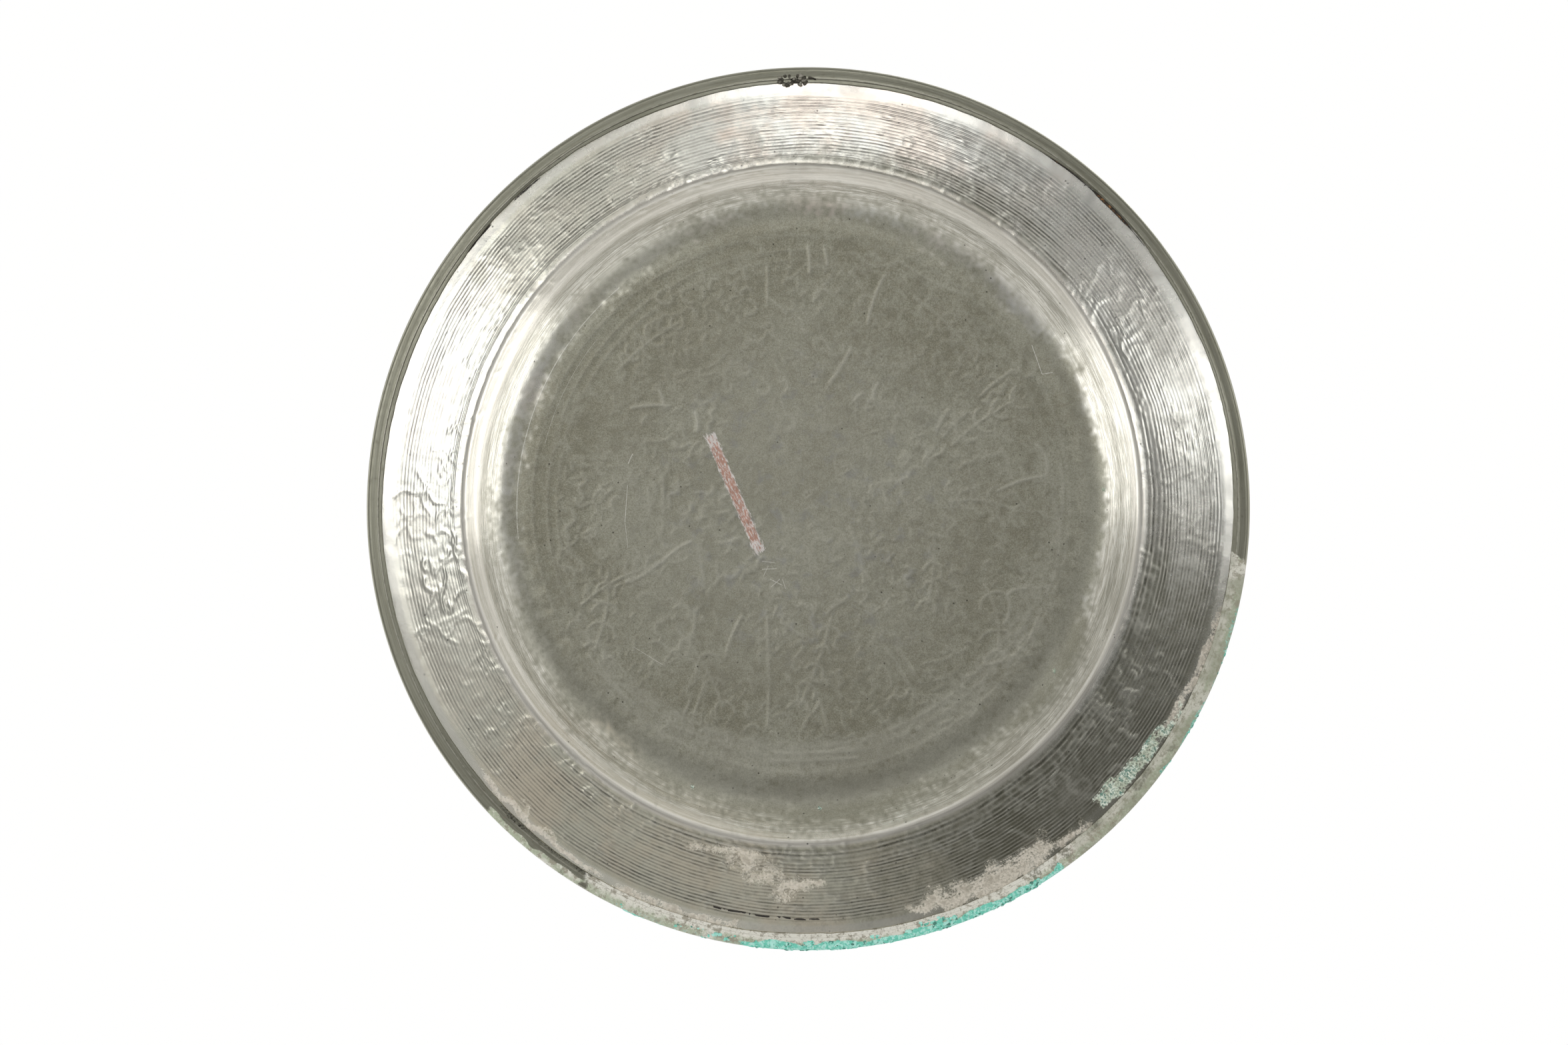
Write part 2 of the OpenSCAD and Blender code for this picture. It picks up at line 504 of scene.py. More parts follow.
def stretch(seen_from, seen_to, rho_from, rho_to, soft_deg=2.0, soft_mm=0.8):
    """A patch along the rim, between two seen angles and two radii in plate radii."""
    middle, half = (seen_from + seen_to) / 2, (seen_to - seen_from) / 2
    turn = np.abs((MAP_SEEN - middle + 180) % 360 - 180) + 0.5 * WANDER_A * soft_deg
    rho = MAP_RHO + 0.5 * WANDER_B
    ring = band(rho, rho_from * PLATE_R, rho_to * PLATE_R, soft_mm)
    return (1 - smooth(turn, half, half + soft_deg)) * ring


def seam(seen_from, seen_to, rho, half, soft_deg):
    """A thin dark line along the strip's raw edge, thinning out towards its ends: grime, and painted shade
    in the gap under the edge.
    """
    middle, reach = (seen_from + seen_to) / 2, (seen_to - seen_from) / 2
    turn = np.abs((MAP_SEEN - middle + 180) % 360 - 180)
    wide = half * (1 - smooth(turn, reach - soft_deg, reach + 1)) * (1 + 0.25 * WANDER_B)
    return smooth(wide - np.abs(MAP_RHO - rho * PLATE_R), -0.25, 0.25) * (turn < reach + 2)


def drift(seen_from, seen_to, rho_from, rho_to, half, soft_deg, wander=0.5):
    """A streak whose middle moves from one radius to another, in plate radii; half is in mm."""
    middle, reach = (seen_from + seen_to) / 2, (seen_to - seen_from) / 2
    turn = (MAP_SEEN - middle + 180) % 360 - 180
    share = np.clip(0.5 + 0.5 * turn / reach, 0, 1)
    off = MAP_RHO - PLATE_R * (rho_from + (rho_to - rho_from) * share) + wander * WANDER_B
    ends = 1 - smooth(np.abs(turn) + 0.4 * WANDER_A * soft_deg, reach, reach + soft_deg)
    return ends * (1 - smooth(np.abs(off), half, half + 0.3 + 0.5 * half))


def lobe(centre, width):
    """How near the seen angle is to centre, from 1 there to 0 a few widths off."""
    turn = (MAP_SEEN - centre + 180) % 360 - 180
    return np.exp(-((turn / width) ** 2))


WANDER_A = cloud(1, 2.5)
WANDER_B = cloud(2, 2.0)
SPECKLE = cloud(3, 0.45)
LUMPS = cloud(4, 1.1)
PATCHY = cloud(5, 7.0)
WARP = cloud(6, 26.0)
DENTS = cloud(7, 9.0)

IS_FLANGE = smooth(MAP_RHO, WELL_R - 1, WELL_R + 1)


def dish_wear_and_painted_light():
    """Named maps of the underside's surface, some of them painted light and shade: what each holds is in the
    material's own function.
    """
    from_well = np.hypot(MAP_X - WELL_SHIFT[0], MAP_Y - WELL_SHIFT[1])
    floor_to = 103 - 6 * lobe(5, 32) - 4.5 * lobe(140, 50) + 4.5 * lobe(285, 55)
    floor_from = 90 + 4 * lobe(5, 32) - 4 * lobe(140, 50) + 5 * lobe(285, 55)
    ragged = (1.6 - 1.2 * lobe(5, 32)) * SPECKLE + 0.5 * LUMPS + 1.4 * PATCHY
    t = np.clip((from_well + ragged - floor_from) / (floor_to - floor_from), 0, 1)
    floor = 1 - t * t * (3 - 2 * t)
    # the wall map reaches over the shoulder bend, where the wall's colour holds a painted highlight
    wall = smooth(from_well, 92, 98) * (1 - smooth(from_well, 108.1, 109.1))
    # painted shade: a dark band in the crease where the wall meets the flange; it goes into the dark map
    corner = band(from_well, 109.0, 110.1, 0.7)
    # painted light on the floor's bend at seen 45° and 280°, where its reflections miss the lamps
    moat_painted_light = 0.35 * band(from_well, 85, 91, 5) * lobe(45, 42)
    moat_painted_light = (moat_painted_light + 1.8 * band(from_well, 78, 91, 6) * lobe(-80, 62)) * (0.75 + 0.25 * SPECKLE)
    patches = 0.22 * PATCHY + 0.16 * WANDER_A
    # darker by seen angle round the flange, most at the lower right
    dark = lobe(-33, 24) + 0.60 * lobe(-64, 16) + 0.24 * lobe(-92, 18) + 0.3 * lobe(-14, 8)
    dark = (dark + 0.5 * dark * patches) * (0.25 + 0.75 * IS_FLANGE) * (1 - floor) + 0.26 * corner
    dark += 0.60 * band(MAP_RHO, 110, 114, 4) * (lobe(74, 30) + 0.5 * lobe(-10, 18))
    dark += (0.18 + 0.30 * patches) * stretch(34, 54, 0.77, 0.97, 16, 3)
    olive = lobe(240, 44) + 0.6 * lobe(128, 20) + 0.6 * lobe(-70, 26)
    dull = 0.65 * stretch(37, 50, 0.77, 0.97, 20, 3) + 0.8 * stretch(114, 134, 0.78, 0.96, 10, 3)
    dull += 0.6 * blotch(107, 0.945, 9, 2.6) + 0.6 * blotch(119, 0.95, 8, 2) + 0.4 * blotch(86, 0.95, 8, 1.5)
    dull += 0.25 * stretch(196, 245, 0.78, 0.96, 8, 2) + 0.5 * stretch(-12, 4, 0.78, 0.90, 8, 3)
    warm = 0.9 * lobe(84, 26) + 0.55 * lobe(228, 16) + 0.5 * lobe(-95, 26) + 0.3 * lobe(160, 20)
    warm += 0.8 * blotch(102, 0.90, 14, 6) + 0.7 * blotch(66, 0.92, 8, 4) + 0.6 * blotch(-58, 0.9, 14, 5)
    pale = (
        blotch(257, 0.800, 12, 1.6) + 0.9 * blotch(262, 0.825, 9, 1.6) + blotch(268, 0.858, 5, 3.0)
        + 0.9 * blotch(263.5, 0.845, 4, 1.6) + 0.8 * blotch(271, 0.846, 3, 1.4)
        + 1.5 * blotch(303, 0.938, 10, 3.2) + 1.5 * blotch(296, 0.928, 9, 3.0)
        + 1.1 * blotch(288, 0.925, 8, 2.2) + 1.1 * blotch(310, 0.945, 6, 2.2)
        + blotch(229, 0.948, 6, 0.9) + 0.8 * blotch(222, 0.952, 5, 0.8)
        + 0.8 * stretch(243, 260, 0.950, 0.968) + 0.8 * stretch(288, 301, 0.940, 0.962)
        + 0.9 * drift(323, 345, 0.946, 0.965, 1.2, 3) + 0.9 * drift(222, 241, 0.950, 0.9575, 0.5, 3)
    )
    green = drift(314.5, 327, 0.935, 0.952, 1.9, 2) + 0.5 * drift(325, 331, 0.953, 0.958, 0.7, 2)
    # grime and painted shade in the gap along the strip's raw edge, with rust from seen 37° to 59°
    dirt_and_gap_shade = seam(37, 59, 0.9658, 0.70, 10) + 0.8 * seam(138, 143, 0.9640, 0.45, 1)
    dirt_and_gap_shade += 0.6 * seam(129, 134, 0.9640, 0.4, 1)
    dirt_and_gap_shade += 0.5 * seam(150, 180, 0.9645, 0.2, 3) + 0.45 * seam(54, 66, 0.9650, 0.25, 3)
    dirt_and_gap_shade += 0.4 * seam(95, 128, 0.964, 0.2, 3)
    crack = 0.9 * drift(257, 271, 0.926, 0.9285, 0.16, 1, 0.1) * smooth(SPECKLE, -1.0, 0.0)
    return {
        "floor": floor, "wall": wall, "dark": dark, "dull": dull, "warm": warm,
        "olive": olive, "moat_painted_light": moat_painted_light, "pale": pale, "green": green, "dirt_and_gap_shade": dirt_and_gap_shade + crack,
    }


# ---------------------------------------------------------------- relief

GROOVE_PITCH = 1.04
GROOVE_DEPTH = 0.030
WELL_RIDGE_H = 0.26
PEBBLE_H = 0.07
FLANGE_RIDGE_H = 0.17


def grooves(rho, x, y):
    """Turned grooves on the flange's underside, about -1 to 1: some cut deeper, some worn away."""
    rng = np.random.default_rng(17)
    depths = rng.uniform(0.3, 1.3, 400)
    phase = rho / GROOVE_PITCH + 0.05 * sample(WANDER_B, x, y) + 0.10 * sample(PATCHY, x, y)
    number = np.clip(phase.astype(int), 0, 399)
    kept = band(rho, 110.5, 130.2, 1.5)
    wear = 0.55 + 0.45 * smooth(sample(PATCHY, x, y) + 0.5 * sample(WANDER_A, x, y), -1.3, 0.5)
    wear *= 1 - 0.5 * sample(lobe(190, 26), x, y) + 0.45 * sample(lobe(60, 14), x, y)
    grain = 0.9 + 0.16 * sample(SPECKLE, x, y)
    return depths[number] * np.cos(2 * np.pi * phase) * kept * wear * grain


def wall_rings(rho):
    """Faint steps and scrape rings round the wall, left by the stake and the scraper."""
    rng = np.random.default_rng(23)
    knots = np.arange(84, 112, 0.45)
    fine = np.interp(rho, knots, rng.standard_normal(len(knots)))
    knots = np.arange(84, 113, 2.6)
    broad = np.interp(rho, knots, rng.standard_normal(len(knots)))
    return (0.010 * fine + 0.05 * broad) * band(rho, 94, 107, 2)


def underside_relief(rho, x, y):
    """How far the underside stands out from its plain section, in mm."""
    presence = 0.45 + 0.55 * smooth(sample(DENTS, x, y), -0.8, 0.8)
    on_flange_part = smooth(rho, 109, 112)
    relief = WELL_RIDGE_H * presence * sample(MAPS["well_ghost"], x, y)
    relief += FLANGE_RIDGE_H * presence * sample(MAPS["flange_ghost"], x, y)
    pebbles = band(rho, 85, 95, 2.5)
    relief += pebbles * (PEBBLE_H * sample(MAPS["scale_ghost"], x, y) + 0.035 * sample(LUMPS, x, y))
    relief += GROOVE_DEPTH * grooves(rho, x, y) + wall_rings(rho)
    relief += 0.006 * sample(LUMPS, x, y) + 0.012 * on_flange_part * sample(MAPS["hammer"], x, y)
    return relief


def warp(rho, x, y):
    """Slow unevenness of the whole sheet, the same on both sides."""
    free = smooth(rho, 20, 110) * (1 - smooth(rho, 128, 136))
    slow = 0.26 * sample(WARP, x, y) + 0.05 * sample(DENTS, x, y)
    return slow * (0.25 + 0.75 * free) * (1 - smooth(rho, 128, 137)) + sag(rho)


def front_relief(rho, x, y):
    """How far the front stands out from its plain section, in mm: the chased lines are sunk."""
    relief = -0.32 * sample(MAPS["front_lines"], x, y)
    relief += 0.015 * sample(LUMPS, x, y) + wall_rings(rho) * 0.5
    return relief


def make_maps():
    """The plan maps of the worked lines, their ghosts on the underside, and the hammer marks."""
    well = line_map(well_lines(), 0.8)
    scales = line_map(scale_lines(), 0.75)
    flange = line_map(flange_lines(), 0.75)
    return {
        "front_lines": np.maximum(np.maximum(well, scales), flange),
        "well_ghost": np.maximum(well_ridges(), 0.12 * np.clip(2.2 * blur(well, 0.45), 0, 1)),
        "scale_ghost": np.clip(1.6 * blur(scales, 0.6), 0, 1),
        "flange_ghost": np.maximum(0.22 * np.clip(2 * blur(flange, 0.5), 0, 1), flange_ridges(900)),
        "hammer": cloud(8, 3.2),
    }


MAPS = make_maps()

# ---------------------------------------------------------------- meshes


def new_mesh(name, points, faces_by_size, materials):
    """A mesh object in metres from points in mm and arrays of faces, one array per face size."""
    mesh = bpy.data.meshes.new(name)
    loops = np.concatenate([faces.ravel() for faces, _ in faces_by_size])
    sizes = np.concatenate([np.full(len(faces), faces.shape[1]) for faces, _ in faces_by_size])
    slots = np.concatenate([np.full(len(faces), slot) for faces, slot in faces_by_size])
    starts = np.concatenate([[0], np.cumsum(sizes)[:-1]])
    mesh.vertices.add(len(points))
    mesh.vertices.foreach_set("co", (points * MM).astype(np.float32).ravel())
    mesh.loops.add(len(loops))
    mesh.loops.foreach_set("vertex_index", loops.astype(np.int32))
    mesh.polygons.add(len(sizes))
    mesh.polygons.foreach_set("loop_start", starts.astype(np.int32))
    for material in materials:
        mesh.materials.append(material)
    mesh.polygons.foreach_set("material_index", slots.astype(np.int32))
    mesh.update(calc_edges=True)
    mesh.validate()
    mesh.polygons.foreach_set("use_smooth", np.ones(len(mesh.polygons), bool))
    piece = bpy.data.objects.new(name, mesh)
    bpy.context.scene.collection.objects.link(piece)
    return piece


def paint(piece, name, values):
    """A named value at each point, which the materials read."""
    attribute = piece.data.attributes.new(name, "FLOAT", "POINT")
    attribute.data.foreach_set("value", np.clip(values, 0, 1).astype(np.float32))


def steps(start, stop, pitch):
    """Evenly spaced radii from start up to, but not including, stop."""
    count = max(int(round((stop - start) / pitch)), 1)
    return start + (stop - start) * np.arange(count) / count


def ring_sectors(rho):
    """Points round a ring: half as many each time the radius halves."""
    sectors = SECTORS
    limit = 60.0
    while rho < limit and sectors > 75:
        sectors //= 2
        limit /= 2
    return sectors


def disc(radii, first):
    """Rings of points from the centre out. Returns rho, angle, faces as tris and quads, and the rim."""
    rho, angle = [np.zeros(1)], [np.zeros(1)]
    tris, quads = [], []
    start, sectors = first + 1, ring_sectors(radii[0])
    around = np.arange(sectors)
    tris.append(np.c_[np.full(sectors, first), start + around, start + (around + 1) % sectors])
    for k, radius in enumerate(radii):
        rho.append(np.full(sectors, radius))
        angle.append(2 * np.pi * np.arange(sectors) / sectors)
        if k + 1 == len(radii):
            break
        after = start + sectors
        more = ring_sectors(radii[k + 1])
        a = np.arange(sectors)
        b = (a + 1) % sectors
        if more == sectors:
            quads.append(np.c_[start + a, after + a, after + b, start + b])
        else:
            twice = 2 * a
            tris.append(np.c_[start + a, after + twice, after + twice + 1])
            quads.append(np.c_[start + a, after + twice + 1, after + (twice + 2) % more, start + b])
        start, sectors = after, more
    rim = start + np.arange(sectors)
    return np.concatenate(rho), np.concatenate(angle), np.concatenate(tris), np.concatenate(quads), rim


def place(rho, angle, lift):
    """Points of the sheet's surface, with the well's shift off the rim's centre."""
    shift = 1 - smooth(rho, WELL_R + 1, WELL_R + 6)
    x = rho * np.cos(angle) + WELL_SHIFT[0] * shift
    y = rho * np.sin(angle) + WELL_SHIFT[1] * shift
    z = sheet_height(rho, lift)
    slope = (sheet_height(rho + 0.05, lift) - sheet_height(rho - 0.05, lift)) / 0.1
    up = 1 / np.sqrt(1 + slope**2)
    out = -slope * up
    return x, y, z, out, up


def make_dish(materials):
    """The sheet: underside and front as two polar grids, joined at the edge."""
    floor_rings = [steps(0.8, 30, 0.6), steps(30, 84, 0.5)]
    under_radii = np.concatenate(
        floor_rings + [steps(84, WELL_R + 2, 0.42), steps(WELL_R + 2, 131.5, 0.2), steps(131.5, EDGE_R, 0.3)]
    )
    front_radii = np.concatenate(floor_rings + [steps(84, EDGE_R, 0.5)])
    rho_u, angle_u, tris_u, quads_u, rim_u = disc(under_radii, 0)
    rho_f, angle_f, tris_f, quads_f, rim_f = disc(front_radii, len(rho_u))
    x_u, y_u, z_u, out_u, up_u = place(rho_u, angle_u, 0.0)
    x_f, y_f, z_f, out_f, up_f = place(rho_f, angle_f, SHEET_T)
    relief_u = -underside_relief(rho_u, x_u, y_u) + warp(rho_u, x_u, y_u)
    relief_f = front_relief(rho_f, x_f, y_f) + warp(rho_f, x_f, y_f)
    points = []
    for x, y, z, out, up, angle, relief in (
        (x_u, y_u, z_u, out_u, up_u, angle_u, relief_u),
        (x_f, y_f, z_f, out_f, up_f, angle_f, relief_f),
    ):
        side = out * relief
        points.append(np.c_[x + side * np.cos(angle), y + side * np.sin(angle), z + up * relief])
    edge = np.c_[rim_u, rim_f, np.roll(rim_f, -1), np.roll(rim_u, -1)]
    under, front = 0, 1
    faces = [
        (tris_u[:, ::-1], under), (quads_u[:, ::-1], under), (edge[:, ::-1], under),
        (tris_f, front), (quads_f, front),
    ]
    piece = new_mesh("dish_sheet", np.concatenate(points), faces, materials)
    x, y = np.concatenate([x_u, x_f]), np.concatenate([y_u, y_f])
    for name, plan in {**dish_wear_and_painted_light(), "engraved": MAPS["front_lines"]}.items():
        paint(piece, name, sample(plan, x, y))
    ghost = np.maximum(MAPS["well_ghost"], MAPS["flange_ghost"])
    paint(piece, "ghost", sample(ghost, x, y))
    paint(piece, "groove", 0.5 + 0.5 * grooves(np.concatenate([rho_u, rho_f]), x, y))
    return piece


def ring_noise(seed, count, size_deg):
    """Smooth random values round a ring, with a spread of 1."""
    noise = np.random.default_rng(seed).standard_normal(count)
    k = np.fft.rfftfreq(count, 1 / count)
    kept = np.exp(-0.5 * (k * math.radians(size_deg)) ** 2)
    soft = np.fft.irfft(np.fft.rfft(noise) * kept, count)
    return soft / soft.std()


def seen_stretch(seen, start, stop, soft):
    """1 between two seen angles, fading over soft degrees outside them."""
    middle, half = (start + stop) / 2, (stop - start) / 2
    turn = np.abs((seen - middle + 180) % 360 - 180)
    return 1 - smooth(turn, half, half + soft)


def tilted(inward, off):
    """A point beside the sheet: so far inward from the wire's centre, and so far off the middle."""
    c, s = math.cos(FLANGE_ANGLE), math.sin(FLANGE_ANGLE)
    return -inward * c - off * s, -inward * s + off * c


def binding_section(edge, lifted):
    """Closed section of the strip about the wire's centre: outwards, and up out of the front."""
    half = SHEET_T / 2
    outer = half + STRIP_T
    front_leg = BINDING_FRONT_W - ROLL_R
    crease = ROLL_R * math.cos(math.asin(outer / ROLL_R))
    line = [tilted(front_leg + (crease - front_leg) * t, outer) for t in np.linspace(0, 1, 6)]
    for a in np.radians(np.linspace(118, -28, 17)):
        line.append((ROLL_R * math.cos(a), ROLL_R * math.sin(a)))
    line += [(1.26, -1.08), (1.02, -1.32), (0.72, -1.45), (0.35, -1.50)]
    line += [(-0.1 - 0.45 * k, -1.515 - 0.004 * k) for k in range(4)]
    line += [(-1.72, -1.56), (-1.95, -1.64), (-2.2, -1.66), (-2.36, -1.60)]
    start = 2.55
    for t in np.linspace(0, 1, 6):
        line.append(tilted(start + (edge - start) * t, -outer - lifted * t**2))
    line.append(tilted(edge + 0.06, -half - STRIP_T * 0.5 - lifted))
    line.append(tilted(edge, -half - lifted))
    for t in np.linspace(0, 1, 4)[1:]:
        line.append(tilted(edge * (1 - t) + WIRE_R * 0.9 * t, -half - lifted * (1 - t) ** 2))
    for t in np.linspace(0, 1, 4):
        line.append(tilted(WIRE_R * 0.9 * (1 - t) + front_leg * t, half))
    return np.array(line)


def make_binding(material):
    """The strip folded over the edge: its back leg wavers, and gapes in two places."""
    count = 2000
    angle = 2 * np.pi * np.arange(count) / count
    seen = np.degrees(np.pi - angle)
    gape = seen_stretch(seen, 40, 50, 7) + 0.5 * seen_stretch(seen, 130, 141, 3)
    wavering = 0.05 * ring_noise(51, count, 0.6) + 0.16 * ring_noise(52, count, 6)
    edge = BINDING_W - ROLL_R - 0.15 + wavering - 0.75 * gape
    edge = np.clip(edge, 2.6, BINDING_W - ROLL_R + 0.5)
    lifted = 0.03 + 0.18 * np.clip(gape, 0, 1) + 0.03 * np.clip(ring_noise(53, count, 4), 0, 3)
    rise = 0.05 * ring_noise(54, count, 12)
    rows = []
    for k in range(count):
        line = binding_section(edge[k], lifted[k])
        rho = WIRE_RING_R + line[:, 0]
        z = WIRE_Z + line[:, 1] + rise[k]
        rows.append(np.c_[rho * math.cos(angle[k]), rho * math.sin(angle[k]), z])
    points = np.concatenate(rows)
    n = len(rows[0])
    a = np.arange(count)[:, None] * n
    b = ((np.arange(count) + 1) % count)[:, None] * n
    i = np.arange(n)[None, :]
    j = (i + 1) % n
    quads = np.stack([a + i, a + j, b + j, b + i], axis=2).reshape(-1, 4)
    crust = crust_maps()
    x, y = points[:, 0], points[:, 1]
    below = smooth(WIRE_Z - points[:, 2], -0.2, 0.8)
    points[:, 2] -= sample(crust["height"], x, y) * below
    piece = new_mesh("rim_strip", points, [(quads, 0)], [material])
    for name in ("grey", "green", "pale", "bare", "dirt_and_gap_shade"):
        paint(piece, name, sample(crust[name], x, y))
    return piece


def crust_maps():
    """The strip's underside: turquoise, pale and greyed crust, bare copper, dirt, and their height."""
    green = 0.7 * stretch(264, 304, 0.985, 1.03, 3.0, 0.6) + 0.5 * stretch(324, 334, 0.996, 1.03, 1.5, 0.3)
    green += 0.45 * stretch(336, 346, 0.995, 1.03, 1.5, 0.3) + 0.35 * stretch(244, 263, 0.988, 1.03, 3, 0.4)
    pale = stretch(240, 353.5, 0.955, 1.03, 1.2, 0.5) + 0.75 * stretch(225, 237, 0.986, 1.03, 3, 0.5)
    pale -= 0.5 * stretch(303, 325, 0.955, 0.985, 3, 1.0) * smooth(LUMPS, -0.4, 0.8)
    bare = 0.45 * stretch(219, 231, 0.974, 0.986, 3, 0.6) + 0.7 * stretch(306, 315, 0.965, 0.99, 2, 0.6)
    dirt_and_gap_shade = stretch(88.5, 92.5, 0.957, 0.975, 0.8, 0.4) * smooth(SPECKLE, -0.5, 0.6)
    dirt_and_gap_shade += 0.5 * stretch(225, 241, 0.957, 0.972, 3, 0.4)
    height = 0.16 * green * smooth(LUMPS, -0.6, 1.4) + 0.10 * pale * smooth(LUMPS, -0.2, 1.6)
    height += 0.05 * pale * SPECKLE
    grey = 0.9 * stretch(308, 352, 0.94, 1.03, 3, 1) * (0.55 + 0.45 * smooth(WANDER_A + LUMPS, -1, 1))
    return {"grey": grey, "green": green, "pale": pale, "bare": bare, "dirt_and_gap_shade": dirt_and_gap_shade, "height": height}


def beads(name, centre, outward, sizes, flat, seed, material):
    """A cluster of small dented balls, each flattened along its own outward direction."""
    rng = np.random.default_rng(seed)
    ball = bmesh.new()
    bmesh.ops.create_icosphere(ball, subdivisions=2, radius=1)
    unit = np.array([corner.co[:] for corner in ball.verts])
    faces = np.array([[corner.index for corner in face.verts] for face in ball.faces])
    ball.free()
    along = np.cross(outward, centre)
    along /= np.linalg.norm(along, axis=1)[:, None]
    across = np.cross(outward, along)
    dents = 1 + 0.16 * rng.standard_normal((len(centre), len(unit), 1))
    shape = unit[None] * dents * sizes[:, None, None]
    longer = rng.uniform(0.8, 1.6, (len(centre), 1, 1))
    points = centre[:, None] + longer * shape[..., :1] * along[:, None]
    points = points + shape[..., 1:2] * across[:, None] + flat * shape[..., 2:] * outward[:, None]
    numbered = faces[None] + len(unit) * np.arange(len(centre))[:, None, None]
    piece = new_mesh(name, points.reshape(-1, 3), [(numbered.reshape(-1, 3), 0)], [material])
    tone = np.repeat(rng.random(len(centre)), len(unit))
    paint(piece, "tone", tone)
    return piece


def on_lip(seen, inward):
    """Points of the strip's underside, and the way out of it; inward is mm from the outer edge."""
    a = np.radians(180 - seen)
    bend = 0.5 * math.pi * ROLL_R
    turn = np.minimum(inward, bend) / ROLL_R
    flat = np.maximum(inward - bend, 0)
    rho = WIRE_RING_R + ROLL_R * np.cos(turn) - flat
    z = WIRE_Z - ROLL_R * np.sin(turn)
    centre = np.c_[rho * np.cos(a), rho * np.sin(a), z]
    outward = np.c_[np.cos(turn) * np.cos(a), np.cos(turn) * np.sin(a), -np.sin(turn)]
    return centre, outward


def make_verdigris(material):
    """Turquoise crust along the corroded lip: grains that crowd towards its outer edge."""
    rng = np.random.default_rng(61)
    seen = np.concatenate([rng.normal(272, 4, 420), rng.uniform(265, 303, 820), rng.uniform(244, 263, 60)])
    seen = np.concatenate([seen, rng.uniform(325, 333, 12), rng.uniform(338, 344, 8)])
    lean = ring_noise(62, 720, 1.5)[np.clip((2 * seen).astype(int), 0, 719)]
    reach = np.where(seen < 310, 3.3 + 0.9 * lean - 1.1 * (seen > 290), 0.9)
    inward = 0.25 + (reach - 0.25) * rng.random(len(seen)) ** 0.8
    centre, outward = on_lip(seen, inward)
    x, y = centre[:, 0], centre[:, 1]
    kept = (sample(LUMPS, x, y) + 0.5 * sample(WANDER_A, x, y) > -0.25) & (seen > 243) & (seen < 346)
    sizes = rng.uniform(0.22, 0.62, len(seen)) * (0.8 + 0.25 * np.clip(sample(LUMPS, x, y), -1, 1.5))
    return beads("verdigris_crust", centre[kept], outward[kept], sizes[kept], 0.5, 63, material)


def make_solder(material):
    """Old solder over the strip's joint: a patch of small blackened beads."""
    low, high = (1000 * np.array(corner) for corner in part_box("binding_solder"))
    rng = np.random.default_rng(71)
    share = rng.random((34, 3)) * (1.5, 0.6, 0.5) + (-0.25, 0.45, 0.2)
    centre = low + (high - low) * share
    outward = np.tile((0.0, 0.0, -1.0), (len(centre), 1))
    return beads("solder_beads", centre, outward, rng.uniform(0.3, 0.62, len(centre)), 0.7, 72, material)


# ---------------------------------------------------------------- material helpers


